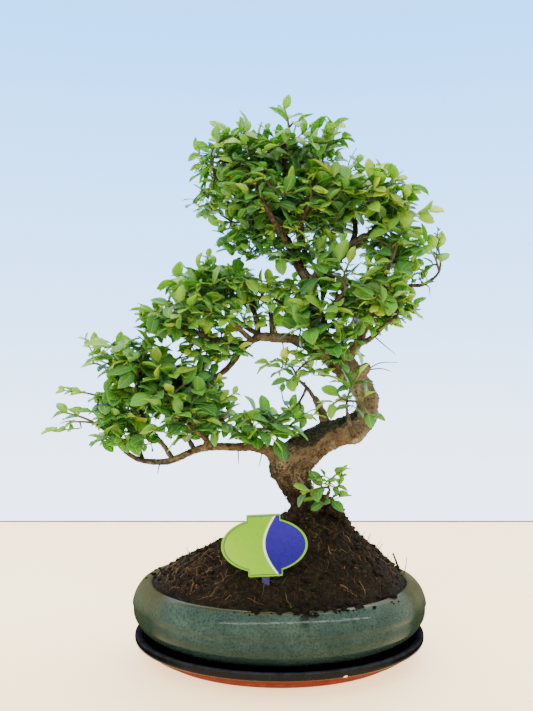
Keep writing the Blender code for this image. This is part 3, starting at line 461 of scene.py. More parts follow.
def leaf_guard(leaf):
    """A slab a little larger than the leaf."""
    points = []
    for lift in (-GUARD_HALF, GUARD_HALF):
        for row, (t, _) in enumerate(LEAF_ROWS):
            half = leaf_half(leaf, row) + GUARD_EDGE
            past = 1 + GUARD_EDGE / leaf["length"] if t == 1 else t
            points += [leaf_spot(leaf, past, -half, lift), leaf_spot(leaf, past, half, lift)]
    faces = []
    rows = len(LEAF_ROWS)
    under = 2 * rows
    for row in range(rows - 1):
        a = 2 * row
        faces += [(a, a + 1, a + 3, a + 2), (under + a, under + a + 2, under + a + 3, under + a + 1)]
        faces += [(a, a + 2, under + a + 2, under + a), (a + 1, under + a + 1, under + a + 3, a + 3)]
    faces += [(0, under, under + 1, 1), (under - 2, under - 1, 2 * under - 1, 2 * under - 2)]
    return points, faces


def make_leaf(root, axis, azimuth, angle, length, pad_middle, rng):
    """One leaf off a shoot, its upper face turned to the light."""
    side = Matrix.Rotation(azimuth, 3, axis) @ axis.orthogonal().normalized()
    along = (axis * math.cos(angle) + side * math.sin(angle)).normalized()
    outward = (root - pad_middle).normalized()
    normal = Vector((0, 0, 1)) + outward * LEAF_OUTWARD + random_way(rng) * LEAF_SWAY
    normal -= along * normal.dot(along)
    return {
        "root": root + side * LEAF_ROOT_OUT,
        "along": along,
        "normal": normal.normalized(),
        "length": length,
        "rise": rng.uniform(*LEAF_RISE),
        "droop": rng.uniform(*LEAF_DROOP),
    }


def clear_of(solid, others):
    tree = tree_of([solid])
    return not any(tree.overlap(other) for other in others)


def near(leaf, middle, reach):
    between = leaf_spot(leaf, 0.5, 0, 0) - middle
    return between.length < leaf["length"] * 0.7 + reach


def blockers_of(leaf, pair, spray, sprays, wood_tree):
    """What a leaf has to keep clear of: wood, other sprays and its own spray's other pairs."""
    blockers = [wood_tree]
    blockers += [mate["tree"] for mate in spray["leaves"] if mate["pair"] != pair]
    for other in sprays:
        if other is not spray and near(leaf, other["middle"], other["reach"]):
            blockers.append(other["shoot_tree"])
            blockers += [done["tree"] for done in other["leaves"] if near(leaf, done["middle"], LEAF_REACH)]
    return blockers


def pair_place(path, level):
    """Where on a shoot a pair of leaves stands: (point, direction), or None if the shoot is too short."""
    spots = [spot for spot, _ in path]
    lengths = [(b - a).length for a, b in zip(spots, spots[1:])]
    place = sum(lengths) - PAIR_FROM_TIP - level * NODE_SPACING
    if place < PAIR_LEAST:
        return None
    step = 0
    while step < len(lengths) - 1 and place > lengths[step]:
        place -= lengths[step]
        step += 1
    axis = (spots[step + 1] - spots[step]).normalized()
    return spots[step] + axis * place, axis


def place_leaves(number, sprays, wood_tree, level, pad_middle):
    """A pair of leaves on a spray's shoots, only the first one's at the second level."""
    spray = sprays[number]
    rng = random.Random(SEED * 1000 + number * 10 + level)
    for index, path in enumerate(spray["shoots"][: 1 if level else None]):
        azimuth = spray["azimuths"][index] + math.pi / 2 * level
        length = rng.uniform(*LEAF_LENGTHS[level])
        found = pair_place(path, level)
        if not found:
            continue
        root, axis = found
        for half_turn in (0, 1):
            first = azimuth + math.pi * half_turn + rng.uniform(-PAIR_TWIST, PAIR_TWIST)
            shift = root + axis * PAIR_STAGGER * (half_turn - 0.5)
            angle = math.radians(LEAF_ANGLES[level] + rng.uniform(-ANGLE_SPREAD, ANGLE_SPREAD))
            for attempt in range(LEAF_TRIES):
                turn = first + LEAF_TURN * ((attempt + 1) // 2) * (-1) ** attempt
                size = length * (1 - LEAF_SHRINK * attempt)
                leaf = make_leaf(shift, axis, turn, angle, size, pad_middle, rng)
                guard = leaf_guard(leaf)
                if clear_of(guard, blockers_of(leaf, (index, level), spray, sprays, wood_tree)):
                    leaf["tree"] = tree_of([guard])
                    leaf["middle"] = leaf_spot(leaf, 0.5, 0, 0)
                    leaf["pair"] = (index, level)
                    spray["leaves"].append(leaf)
                    break


def find_way(spray, number, done, wood):
    """Shoots that keep clear of the wood and of the sprays already grown."""
    rng = random.Random(SEED * 10 + number)
    others = done + [tree_of([solid for name, solid in wood.items() if name != spray["seat"]])]
    seat = [tree_of([wood[spray["seat"]]])]
    for attempt in range(WAY_TRIES):
        bend = random_way(rng) * WAY_BEND * attempt
        moves = [random_way(rng) * WAY_MOVE * attempt for _ in spray["tips"]]
        shoots = grow_shoots(spray, [tip + move for tip, move in zip(spray["tips"], moves)], bend)
        solids = [prism(path, GUARD_SHOOT) for path in shoots]
        past_seat = [prism(shoots[0], GUARD_SHOOT, SEAT_PASSED)] + solids[1:]
        if all(clear_of(a, others) and clear_of(b, seat) for a, b in zip(solids, past_seat)):
            spray["shoots"] = shoots
            spray["shoot_tree"] = tree_of(solids)
            spots = [spot for path in shoots for spot, _ in path]
            spray["middle"] = sum(spots, Vector()) / len(spots)
            spray["reach"] = max((spot - spray["middle"]).length for spot in spots) + LEAF_REACH
            spray["azimuths"] = [rng.uniform(0, math.pi) for _ in shoots]
            spray["leaves"] = []
            return
    raise ValueError(f"no clear way for {spray['name']}")


def plan_tree():
    """The wood's routes and spurs, and the sprays with every leaf in place."""
    routes = {"trunk": smooth_path(TRUNK, 12, STEP_PER_RADIUS)}
    for name, points in BRANCHES.items():
        routes[name] = smooth_path(points, 17, STEP_PER_RADIUS)
    stubs = {name: smooth_path(points, 8, STEP_PER_RADIUS) for name, points in STUBS.items()}
    spurs = {}
    taken = {"trunk"}
    sprays = []
    middles = {}
    for index, (pad_name, pad) in enumerate(PADS.items()):
        middle = Vector(pad[0])
        middles[pad_name] = middle - Vector((0, 0, pad[1][2]))
        for k, tips in enumerate(paired(pad_tips(index, pad), middle)):
            sprays.append(plan_spray(f"spray_{pad_name}_{k + 1}", pad_name, tips, routes, spurs, taken))
    for name, places in SINGLES.items():
        tips = [Vector(place) for place in places]
        middles[name] = tips[0] - Vector((0, 0, 20))
        sprays.append(plan_spray(f"spray_{name}", name, tips, routes, spurs, taken))
    wood = {name: prism(path, GUARD_WOOD) for name, path in {**routes, **stubs, **spurs}.items()}
    for number, spray in enumerate(sprays):
        find_way(spray, number, [s["shoot_tree"] for s in sprays[:number]], wood)
    wood_tree = tree_of(list(wood.values()))
    for level, every in enumerate(PAIR_EVERY):
        for number in range(0, len(sprays), every):
            place_leaves(number, sprays, wood_tree, level, middles[sprays[number]["pad"]])
    return routes, spurs, sprays


def soil_height(spot, share):
    """Height of the mound, from the rim at share 1 to the peak at 0."""
    rise = SOIL_PEAK.z - POT_INSIDE[-1][1]
    height = POT_INSIDE[-1][1] + rise * (1 - share) ** SOIL_RISE_POWER
    lumps = noise.noise(spot * 0.045) + 0.5 * noise.noise(spot * 0.11)
    return height + lumps * SOIL_LUMPS * min(1, 6 * (1 - share))


# Mesh making


def clamp(value):
    return max(0.0, min(1.0, value))


def hill(spot, middle, reach):
    """1 at the middle, 0.37 at the reach and next to nothing at twice the reach."""
    return math.exp(-((spot - Vector(middle)).length / reach) ** 2)


def fractal(spot, scale, octaves=3):
    return noise.fractal(spot * scale, 0.8, 2.1, octaves)


def add_object(name, data):
    obj = bpy.data.objects.new(name, data)
    bpy.context.scene.collection.objects.link(obj)
    return obj


def apply_modifiers(obj):
    graph = bpy.context.evaluated_depsgraph_get()
    mesh = bpy.data.meshes.new_from_object(obj.evaluated_get(graph))
    obj.modifiers.clear()
    obj.data = mesh


def set_tints(mesh, tints):
    old = mesh.attributes.get("tint")
    if old:
        mesh.attributes.remove(old)
    layer = mesh.attributes.new("tint", "FLOAT_COLOR", "POINT")
    layer.data.foreach_set("color", np.array(tints, dtype=np.float32).ravel())


def taken(bm):
    """(points, faces) of a bmesh, which is freed."""
    points = [vert.co.copy() for vert in bm.verts]
    faces = [tuple(vert.index for vert in face.verts) for face in bm.faces]
    bm.free()
    return points, faces


def shell_faces(rings, steps, flip=False):
    """Faces of a closed form whose points are one end, rings of steps points, and the other end."""
    faces = [(0, 1 + (k + 1) % steps, 1 + k) for k in range(steps)]
    for number in range(1, rings):
        faces += band(1 + number * steps, steps)
    last = 1 + (rings - 1) * steps
    faces += [(last + k, last + (k + 1) % steps, last + steps) for k in range(steps)]
    return [face[:1] + face[:0:-1] for face in faces] if flip else faces


def stick(path, sides, tip=0.6):
    """(points, faces) of a round stick with closed ends along a path of (point, radius)."""
    points = []
    faces = []
    spots = [spot for spot, _ in path]
    ahead = (spots[1] - spots[0]).normalized()
    side = ahead.orthogonal().normalized()
    for i, (spot, radius) in enumerate(path):
        after = spots[min(i + 1, len(spots) - 1)] - spots[max(i - 1, 0)]
        if after.length > 1e-6:
            turn = ahead.rotation_difference(after.normalized())
            side = (turn @ side).normalized()
            ahead = after.normalized()
        points += ring(spot, side, ahead.cross(side), radius, sides)
        faces += band(sides * i, sides) if i else []
    start = len(points)
    first = (spots[0] - spots[1]).normalized() * path[0][1] * tip
    last = (spots[-1] - spots[-2]).normalized() * path[-1][1] * tip
    points += [spots[0] + first, spots[-1] + last]
    for k in range(sides):
        following = (k + 1) % sides
        faces.append((start, following, k))
        faces.append((start + 1, start - sides + k, start - sides + following))
    return points, faces


class Soup:
    """Closed shells gathered into one mesh. Each point has a tint of four numbers for its material."""

    def __init__(self):
        self.points = []
        self.faces = []
        self.slots = []
        self.tints = []

    def add(self, points, faces, tints, slot=0):
        start = len(self.points)
        self.points += points
        self.faces += [tuple(start + i for i in face) for face in faces]
        self.slots += [slot] * len(faces)
        self.tints += tints if isinstance(tints, list) else [tints] * len(points)

    def rod(self, path, sides, tints, slot=0, tip=0.6):
        self.add(*stick(path, sides, tip), tints, slot)

    def make(self, name, materials, smooth=True):
        mesh = bpy.data.meshes.new(name)
        mesh.from_pydata([tuple(c * MM for c in point) for point in self.points], [], self.faces)
        mesh.polygons.foreach_set("material_index", self.slots)
        mesh.polygons.foreach_set("use_smooth", [smooth] * len(self.faces))
        set_tints(mesh, self.tints)
        for material in materials:
            mesh.materials.append(material)
        mesh.update()
        return add_object(name, mesh)


# Materials


def rgb(r, g, b):
    """A linear colour from one as seen on a screen, each part 0 to 255."""
    parts = [((c / 255 + 0.055) / 1.055) ** 2.4 if c > 10 else c / 255 / 12.92 for c in (r, g, b)]
    return (*parts, 1.0)


class Nodes:
    """Short ways to add nodes to a tree. A ramp's colours are as seen on a screen, or else linear."""

    def __init__(self, tree):
        self.tree = tree

    def node(self, kind, inputs=None, **settings):
        node = self.tree.nodes.new("ShaderNode" + kind)
        for key, value in settings.items():
            setattr(node, key, value)
        for key, value in (inputs or {}).items():
            if isinstance(value, bpy.types.NodeSocket):
                self.tree.links.new(value, node.inputs[key])
            else:
                node.inputs[key].default_value = value
        return node

    def span(self, value, low, high, to_low=0.0, to_high=1.0, form="SMOOTHSTEP"):
        ends = {"Value": value, "From Min": low, "From Max": high, "To Min": to_low, "To Max": to_high}
        return self.node("MapRange", ends, interpolation_type=form).outputs[0]

    def math(self, operation, a, b=0.0):
        return self.node("Math", {0: a, 1: b}, operation=operation).outputs[0]

    def plus(self, a, b):
        return self.math("ADD", a, b)

    def times(self, a, b):
        return self.math("MULTIPLY", a, b)

    def mix(self, share, a, b, blend="MIX"):
        return self.node("Mix", {0: share, 6: a, 7: b}, data_type="RGBA", blend_type=blend).outputs[2]

    def ramp(self, value, *stops, linear=False):
        node = self.node("ValToRGB", {0: value})
        elements = node.color_ramp.elements
        while len(elements) < len(stops):
            elements.new(0.5)
        for element, (place, *colour) in zip(elements, stops):
            element.position = place
            element.color = (*colour, 1) if linear else rgb(*colour)
        return node.outputs[0]


class Shade(Nodes):
    """A node material with one Principled shader."""

    def __init__(self, name, **values):
        self.material = bpy.data.materials.new(name)
        self.material.use_nodes = True
        super().__init__(self.material.node_tree)
        self.shader = self.tree.nodes["Principled BSDF"]
        for socket, value in values.items():
            self.shader.inputs[socket.replace("_", " ")].default_value = value

    def put(self, socket, value):
        self.tree.links.new(value, self.shader.inputs[socket])

    def done(self, colour, rough=None, bump=None):
        """The material, with its colour, its roughness and a bump of (height, distance, strength)."""
        self.put("Base Color", colour)
        if rough is not None:
            self.put("Roughness", rough)
        if bump is not None:
            height, distance, strength = bump
            relief = self.node("Bump", {"Height": height, "Distance": distance, "Strength": strength})
            self.put("Normal", relief.outputs[0])
        return self.material

    def spots(self):
        return self.node("TexCoord").outputs["Object"]

    def height(self):
        return self.node("SeparateXYZ", {0: self.spots()}).outputs[2]

    def tint(self):
        """The four numbers kept at each point."""
        reader = self.node("Attribute", attribute_name="tint", attribute_type="GEOMETRY")
        parts = self.node("SeparateColor", {"Color": reader.outputs["Color"]})
        return parts.outputs[0], parts.outputs[1], parts.outputs[2], reader.outputs["Alpha"]

    def grain(self, scale, detail=4, rough=0.55, stretch=None, warp=0.0):
        spots = self.spots()
        if stretch:
            spots = self.node("Mapping", {"Vector": spots, "Scale": stretch}).outputs[0]
        settings = {"Scale": scale, "Detail": detail, "Roughness": rough, "Distortion": warp}
        return self.node("TexNoise", {"Vector": spots, **settings}).outputs["Fac"]

    def patches(self, low, high, to_low, to_high, *grain, **more):
        """A share that goes from to_low to to_high where noise goes from low to high."""
        return self.span(self.grain(*grain, **more), low, high, to_low, to_high)

    def specks(self, scale, reach, share):
        """A share in the middle of small round spots, falling to 0 at their reach."""
        cells = self.node("TexVoronoi", {"Vector": self.spots(), "Scale": scale}, feature="F1")
        return self.span(cells.outputs["Distance"], 0.0, reach, share, 0.0)

    def shaded(self, base, value, *stops):
        """base times a linear colour that goes along with a value."""
        return self.mix(1.0, base, self.ramp(value, *stops, linear=True), "MULTIPLY")


def leaf_material():
    """Deep green when old, yellow-green when young, with a pale midrib and faint side veins."""
    s = Shade(
        "leaf", Specular_IOR_Level=0.24, Subsurface_Weight=0.25, Subsurface_Scale=0.004,
        Subsurface_Radius=(0.4, 1.0, 0.12),
    )
    age, chance, along, across = s.tint()
    base = s.ramp(
        age, (0.0, 40, 79, 47), (0.3, 61, 112, 56), (0.55, 92, 146, 58), (0.8, 134, 177, 54),
        (1.0, 174, 202, 66),
    )
    blotches = s.grain(160, 3)
    base = s.mix(s.span(blotches, 0.35, 0.75, 0.0, 0.3), base, rgb(38, 78, 22))
    base = s.shaded(base, chance, (0.0, 0.72, 0.78, 0.75), (0.5, 1, 1, 1), (1.0, 1.08, 1.05, 0.9))
    off = s.math("ABSOLUTE", s.math("SUBTRACT", across, 0.5))
    slant = s.math("FRACT", s.plus(s.times(along, 7.0), s.times(off, -5.0)))
    vein = s.span(s.math("ABSOLUTE", s.math("SUBTRACT", slant, 0.5)), 0.0, 0.11, 1.0, 0.0)
    lines = s.math("MAXIMUM", s.span(off, 0.0, 0.045, 1.0, 0.0), s.times(vein, 0.35))
    base = s.mix(s.times(lines, 0.5), base, rgb(170, 200, 70))
    height = s.plus(s.times(lines, -1.0), s.times(blotches, 0.5))
    return s.done(base, s.patches(0.3, 0.7, 0.3, 0.5, 300, 2), (height, 0.00035, 0.5))


def shoot_material():
    """Green where it is young, red-brown and then grey-brown where it is old."""
    s = Shade("shoot", Roughness=0.6)
    age, chance, _, _ = s.tint()
    base = s.ramp(age, (0.0, 46, 36, 26), (0.4, 64, 50, 31), (0.75, 88, 92, 38), (1.0, 128, 150, 52))
    base = s.mix(s.patches(0.4, 0.7, 0.0, 0.45, 420), base, rgb(58, 44, 32))
    base = s.shaded(base, chance, (0.0, 0.8, 0.8, 0.8), (1.0, 1.15, 1.1, 1.0))
    return s.done(base, None, (s.grain(900, 3), 0.0002, 0.6))


def bark_material():
    """Grey-brown bark, dark in its cracks, warmer on the younger wood, with green-black moss low down and
    painted shade in a hollow.
    """
    s = Shade("bark", Specular_IOR_Level=0.25)
    crack, moss, warmth, peat = s.tint()
    fine = s.grain(210, 6, 0.7)
    base = s.ramp(
        s.grain(38, 5, 0.6), (0.25, 58, 50, 37), (0.42, 88, 78, 57), (0.58, 122, 111, 86),
        (0.78, 178, 170, 146),
    )
    base = s.mix(s.times(warmth, 0.45), base, rgb(112, 80, 48))
    base = s.mix(s.span(fine, 0.42, 0.68, 0.0, 0.4), base, rgb(48, 36, 26))
    base = s.mix(s.patches(0.56, 0.72, 0.0, 0.45, 75, 4, 0.6), base, rgb(166, 154, 130))
    # the first tint darkens the cracks, the sunken plates and the wood low and high up, and holds painted shade
    # in the hollow near the elbow stub
    base = s.mix(s.span(crack, 0.3, 0.9, 0.0, 0.85), base, rgb(30, 23, 17))
    mossy = s.span(s.plus(moss, s.times(s.grain(90, 5, 0.7), 0.9)), 0.72, 0.95)
    green = s.mix(s.patches(0.42, 0.68, 0.0, 1.0, 500, 3), rgb(23, 23, 20), rgb(58, 58, 38))
    base = s.mix(mossy, base, green)
    earthy = s.span(s.plus(peat, s.times(s.grain(120), 0.6)), 0.55, 0.85)
    earth = s.mix(s.patches(0.4, 0.7, 0.0, 1.0, 420), rgb(18, 14, 10), rgb(66, 46, 30))
    base = s.mix(earthy, base, earth)
    height = s.plus(fine, s.times(s.grain(90, 6, 0.65, stretch=(1, 1, 0.35)), 1.6))
    return s.done(base, s.span(fine, 0.3, 0.7, 0.72, 0.95), (height, 0.0017, 1.0))


def soil_material():
    """Near-black moist peat with brown flecks."""
    s = Shade("peat", Roughness=0.95, Specular_IOR_Level=0.15)
    tone, _, _, _ = s.tint()
    base = s.ramp(
        s.grain(260, 6, 0.75), (0.3, 8, 8, 6), (0.5, 27, 23, 16), (0.66, 55, 43, 28), (0.8, 96, 74, 48)
    )
    base = s.mix(s.specks(900, 0.28, 0.4), base, rgb(80, 57, 36))
    base = s.mix(s.span(tone, 0.0, 1.0, 0.0, 0.4), base, rgb(66, 50, 31))
    base = s.mix(s.patches(0.5, 0.68, 0.0, 0.4, 34, 4, 0.6), base, rgb(44, 44, 20))
    return s.done(base, None, (s.grain(420, 6, 0.8), 0.0018, 1.0))


def crumb_material():
    """Black to light brown peat, green where it is mossy."""
    s = Shade("crumb", Roughness=0.95, Specular_IOR_Level=0.15)
    tone, moss, _, _ = s.tint()
    base = s.ramp(tone, (0.0, 11, 9, 7), (0.5, 33, 25, 17), (0.85, 68, 51, 32), (1.0, 106, 80, 50))
    base = s.mix(s.patches(0.4, 0.7, 0.0, 0.5, 700), base, rgb(24, 17, 12))
    green = s.mix(s.patches(0.4, 0.6, 0.0, 1.0, 900, 2), rgb(30, 36, 12), rgb(70, 84, 24))
    return s.done(s.mix(moss, base, green), None, (s.grain(1100), 0.0005, 0.9))


def fibre_material():
    """Dark to straw-brown roots."""
    s = Shade("fibre", Roughness=0.8, Specular_IOR_Level=0.2)
    tone, _, _, _ = s.tint()
    base = s.ramp(tone, (0.0, 18, 14, 10), (0.4, 46, 33, 20), (0.75, 92, 66, 40), (1.0, 152, 122, 80))
    return s.done(s.mix(s.patches(0.4, 0.6, 0.0, 0.5, 1200, 2), base, rgb(60, 38, 24)))


def celadon_material():
    """Grey-green glaze with dark specks, olive at the rim and the ends, a teal line of painted shade in the
    crease, painted shade on the ends and towards the bottom, a painted sheen at the top of the ends, clay at the
    foot.
    """
    s = Shade("celadon_glaze")
    thin, ends, low, crease = s.tint()
    base = s.ramp(s.grain(26, 5, 0.6), (0.3, 38, 56, 51), (0.5, 50, 70, 65), (0.7, 66, 87, 79))
    speck = s.grain(540, 5, 0.8)
    base = s.mix(s.span(speck, 0.47, 0.6, 0.0, 0.7), base, rgb(18, 36, 30))
    base = s.mix(s.patches(0.56, 0.7, 0.0, 0.28, 520, 4, 0.7, warp=0.4), base, rgb(98, 114, 88))
    base = s.mix(s.specks(700, 0.2, 0.75), base, rgb(16, 28, 26))
    # painted shade: a dark teal line in the crease
    base = s.mix(s.times(crease, s.patches(0.35, 0.6, 0.3, 0.9, 90)), base, rgb(18, 40, 40))
    base = s.mix(s.times(thin, s.patches(0.3, 0.6, 0.4, 0.95, 120)), base, rgb(74, 62, 26))
    height = s.height()
    # the ends turn darker olive, partly as painted shade, and a painted sheen lightens them towards the top of
    # the shoulder
    sheen = s.mix(s.span(height, 0.046, 0.06), rgb(52, 52, 27), rgb(94, 91, 66))
    base = s.mix(s.times(ends, s.patches(0.3, 0.6, 0.4, 0.85, 40)), base, sheen)
    marks = s.patches(0.71, 0.75, 0.0, 1.0, 30, 2, 0.4, stretch=(1, 1, 0.5))
    base = s.mix(s.times(marks, 0.8), base, rgb(18, 22, 18))
    # painted shade: the glaze is darkened and turned bluer towards the bottom of the pot
    painted_low_shade = s.ramp(
        s.span(height, 0.02, 0.06), (0.1, 153, 162, 180), (0.3, 176, 192, 203), (0.45, 196, 212, 218),
        (0.62, 208, 221, 238), (0.95, 255, 255, 255),
    )
    base = s.mix(low, s.mix(1.0, base, painted_low_shade, "MULTIPLY"), rgb(60, 44, 32))
    gleam = s.times(s.span(ends, 0.0, 0.4, 1.0, 0.0), s.span(height, 0.043, 0.053, 0.07, 0.18))
    s.put("Specular IOR Level", gleam)
    gloss = s.plus(s.span(speck, 0.4, 0.7, 0.07, 0.17), s.times(ends, 0.2))
    relief = s.plus(s.grain(60, 3), s.times(speck, 0.12))
    return s.done(base, s.plus(gloss, s.times(low, 0.5)), (relief, 0.0006, 0.35))


def saucer_material():
    """Near-black glaze, greyer where it thins at the rim, with one chip, over bare clay underneath."""
    s = Shade("dark_glaze")
    thin, bare, ends, _ = s.tint()
    s.put("Specular IOR Level", s.span(ends, 0.0, 1.0, 0.1, 0.0))
    away = s.node("VectorMath", {0: s.spots(), 1: CHIP_PLACE}, operation="DISTANCE").outputs["Value"]
    chip = s.span(s.plus(away, s.times(s.grain(500, 3), 0.002)), 0.0026, 0.0032, 1.0, 0.0)
    base = s.ramp(s.grain(45, 5, 0.6), (0.35, 4, 6, 9), (0.55, 8, 11, 15), (0.75, 20, 25, 32))
    base = s.mix(s.patches(0.58, 0.7, 0.0, 0.4, 520, 4, 0.7), base, rgb(50, 52, 56))
    base = s.mix(s.times(thin, s.patches(0.3, 0.6, 0.35, 0.9, 90)), base, rgb(46, 48, 54))
    clay = s.ramp(s.grain(160, 5, 0.7), (0.3, 74, 19, 9), (0.6, 100, 30, 15), (0.8, 122, 48, 29))
    base = s.mix(chip, s.mix(bare, base, clay), rgb(228, 216, 202))
    rough = s.plus(s.patches(0.3, 0.7, 0.08, 0.2, 130, 3), s.times(bare, 0.7))
    relief = s.plus(s.grain(80, 3), s.times(s.times(bare, s.grain(600)), 0.8))
    return s.done(base, rough, (relief, 0.0004, 0.4))


def label_material():
    """Lime with a painted sheen that pales it to one side, and a violet-blue field, split by a thin pale line.
    """
    s = Shade("label_plastic", Specular_IOR_Level=0.25)
    x, y, inner, _ = s.tint()
    # painted sheen: the lime pales towards one side
    pale = s.span(s.plus(x, s.times(y, 0.6)), 0.1, 0.9, 0.3, 0.0)
    lime = s.mix(pale, rgb(112, 172, 0), rgb(168, 204, 56))
    violet = s.mix(s.span(y, 0.1, 0.9), rgb(26, 6, 118), rgb(40, 22, 140))
    sweep = s.plus(x, s.times(s.math("SINE", s.times(y, 3.1)), 0.16))
    line = s.times(s.span(sweep, 0.635, 0.65), s.span(sweep, 0.66, 0.675, 1.0, 0.0))
    base = s.mix(s.span(sweep, 0.66, 0.675), lime, violet)
    base = s.mix(line, base, rgb(226, 240, 190))
    base = s.mix(s.span(inner, 0.06, 0.075), rgb(112, 172, 0), base)
    border = s.times(s.span(inner, 0.05, 0.1), s.span(inner, 0.3, 0.4, 1.0, 0.0))
    base = s.mix(border, base, rgb(34, 46, 84))
    return s.done(base, s.patches(0.3, 0.7, 0.22, 0.36, 200, 3), (s.grain(900, 2), 0.00003, 0.3))


def plastic_material(name, colour, rough):
    """Plain plastic with faint darker patches."""
    s = Shade(name)
    darker = tuple(c * 0.6 for c in colour[:3]) + (1,)
    base = s.mix(s.patches(0.3, 0.7, 0.0, 0.35, 140), colour, darker)
    uneven = s.patches(0.3, 0.7, rough - 0.08, rough + 0.1, 260, 3)
    return s.done(base, uneven, (s.grain(700, 3), 0.0001, 0.5))


# Leaves and twigs

FINE = (  # (along, half width) in leaf lengths, then places across
    ((0.0, 0.016), (0.1, 0.06), (0.25, 0.22), (0.45, 0.3), (0.67, 0.285), (0.87, 0.175), (1.0, 0.008)),
    (-1.0, -0.5, 0.0, 0.5, 1.0),
)
PLAIN = (
    ((0.0, 0.018), (0.12, 0.08), (0.33, 0.27), (0.62, 0.29), (0.86, 0.175), (1.0, 0.008)),
    (-1.0, 0.0, 1.0),
)
COARSE = (((0.0, 0.02), (0.22, 0.19), (0.52, 0.28), (0.82, 0.17), (1.0, 0.01)), (-1.0, 0.0, 1.0))
SHAPES = ((8.5, COARSE), (16.0, PLAIN), (99.0, FINE))  # for leaves up to this length
FINE_HALF = 0.16  # half thickness of a blade
STALK_HALF = 0.25  # more than that at its foot
LEAF_FOLD = (0.12, 0.42)
LEAF_WAVE = (0.0, 0.035)
WAVES_ALONG = 9
LEAF_SWEEP = (-0.1, 0.1)
LEAF_TWIST = (-0.35, 0.35)
LEAF_WIDTH = (0.92, 1.08)
AGE_LEAST = 0.03
AGE_OUT = 0.32
AGE_HIGH = 0.24
AGE_SPREAD = 0.13
AGE_FORWARD = (0.26, 0.05)  # for the pair at the tip and the one behind it
WIDE_UP = Vector((0, 0, 0.8))
WIDE_OUT = 0.6
WIDE_SWAY = 0.6
WIDE_FLAT = (0.85, 0.4)  # how much of a leaf's rise and of its fall is left
FILL_TRIES = 1500
FILL_INNER = 0.1  # share of a pad's reach, squared, that stays clear in the middle
PAD_WAVE = 0.2
UNDERSIDE = -0.5
UNDERSIDE_REACH = 0.78
OPEN_PLACE = Vector((31, 7, 3))
OPEN_SCALE = 0.055
EDGE_WAVE = 9
THIN_SCALE = 0.21
THIN_ABOVE = 0.02
TWIG_REACH = 36
TWIG_LEAST = 3
TWIG_RISE = Vector((0, 0, 0.25))
TWIG_CURVE = 0.4
TWIG_THIN = 0.42
TWIG_GROWTH = 0.13  # with the root of what a twig carries
TWIG_THICK = 1.5
TWIG_LENGTHS = {True: (12, 18), False: (14, 21)}  # of leaves at a tip and elsewhere
TWIG_ANGLES = {True: (32, 50), False: (48, 72)}
TWIG_SIZES = (0.62, 0.9, 1.0, 1.08)
TWIG_PAIR_GAP = 6.5
TWIG_TWO_PAIRS = 9  # least length for a second pair
BUD_LENGTHS = (3.5, 6.5)
LOOSE_EDGES = (((-1, 0, 0), 161), ((0, 0, 1), 460), ((0.94, 0, 0.34), 243))  # way out, reach of dense leaves
THIN_PLACES = (((76, 0, 337), (26, 60, 13)), ((-14, 0, 306), (30, 60, 12)))  # middle, half sizes
FILLS = {  # pad: (least distance between added pairs of leaves, leaf size, share left open, how much younger)
    "crown_left": (9.3, 0.98, 0.2, -0.05), "crown_top": (9.1, 0.96, 0.18, -0.05),
    "crown_low": (9.4, 0.98, 0.27, -0.16), "crown_right": (9.3, 0.98, 0.25, 0),
    "right_top": (9.2, 1.02, 0.24, 0.08), "right_mid": (9.4, 0.96, 0.28, 0),
    "right_low": (9.2, 0.96, 0.24, 0), "centre_front": (9.8, 1.12, 0.16, -0.12),
    "trunk_front": (10.4, 1.12, 0.2, -0.16), "mid_top": (9.0, 0.94, 0.14, -0.05),
    "mid_outer": (9.2, 0.98, 0.16, -0.02), "mid_inner": (9.4, 0.9, 0.36, 0.12),
    "mid_low": (9.2, 0.96, 0.18, 0), "low_top": (9.6, 1.12, 0.18, -0.08), "low_tip": (9.8, 1.1, 0.22, -0.1),
    "low_inner": (9.6, 1.14, 0.14, -0.2), "low_near": (9.9, 1.16, 0.18, -0.2), "stub": (11.0, 0.9, 0.3, 0),
    "collar": (9.5, 0.95, 0.1, -0.1), "low_collar": (9.5, 1.2, 0.1, -0.12), "riser": (12.0, 1.1, 0.1, -0.2),
    "base": (7.8, 0.82, 0.0, -0.15), "fork": (9.2, 0.95, 0.22, -0.08), "mid_under": (9.4, 0.88, 0.34, 0.16),
    "low_under": (9.2, 1.1, 0.1, -0.12), "crown_beak": (8.8, 0.86, 0.15, 0),
    "crown_heel": (9.0, 0.9, 0.15, 0), "crown_under": (9.2, 0.96, 0.2, -0.14),
    "right_reach": (8.8, 0.95, 0.1, 0.12), "heart": (9.4, 1.0, 0.16, 0),
    "trunk_low_front": (9.6, 1.05, 0.2, -0.14), "crown_cover": (8.0, 0.9, 0.0, -0.16),
    "mid_cover": (8.2, 0.92, 0.0, -0.06), "low_cover": (8.6, 1.06, 0.0, -0.18),
    "right_cover": (8.2, 0.95, 0.0, 0), "far_round": (7.5, 0.62, 0.1, 0),
}
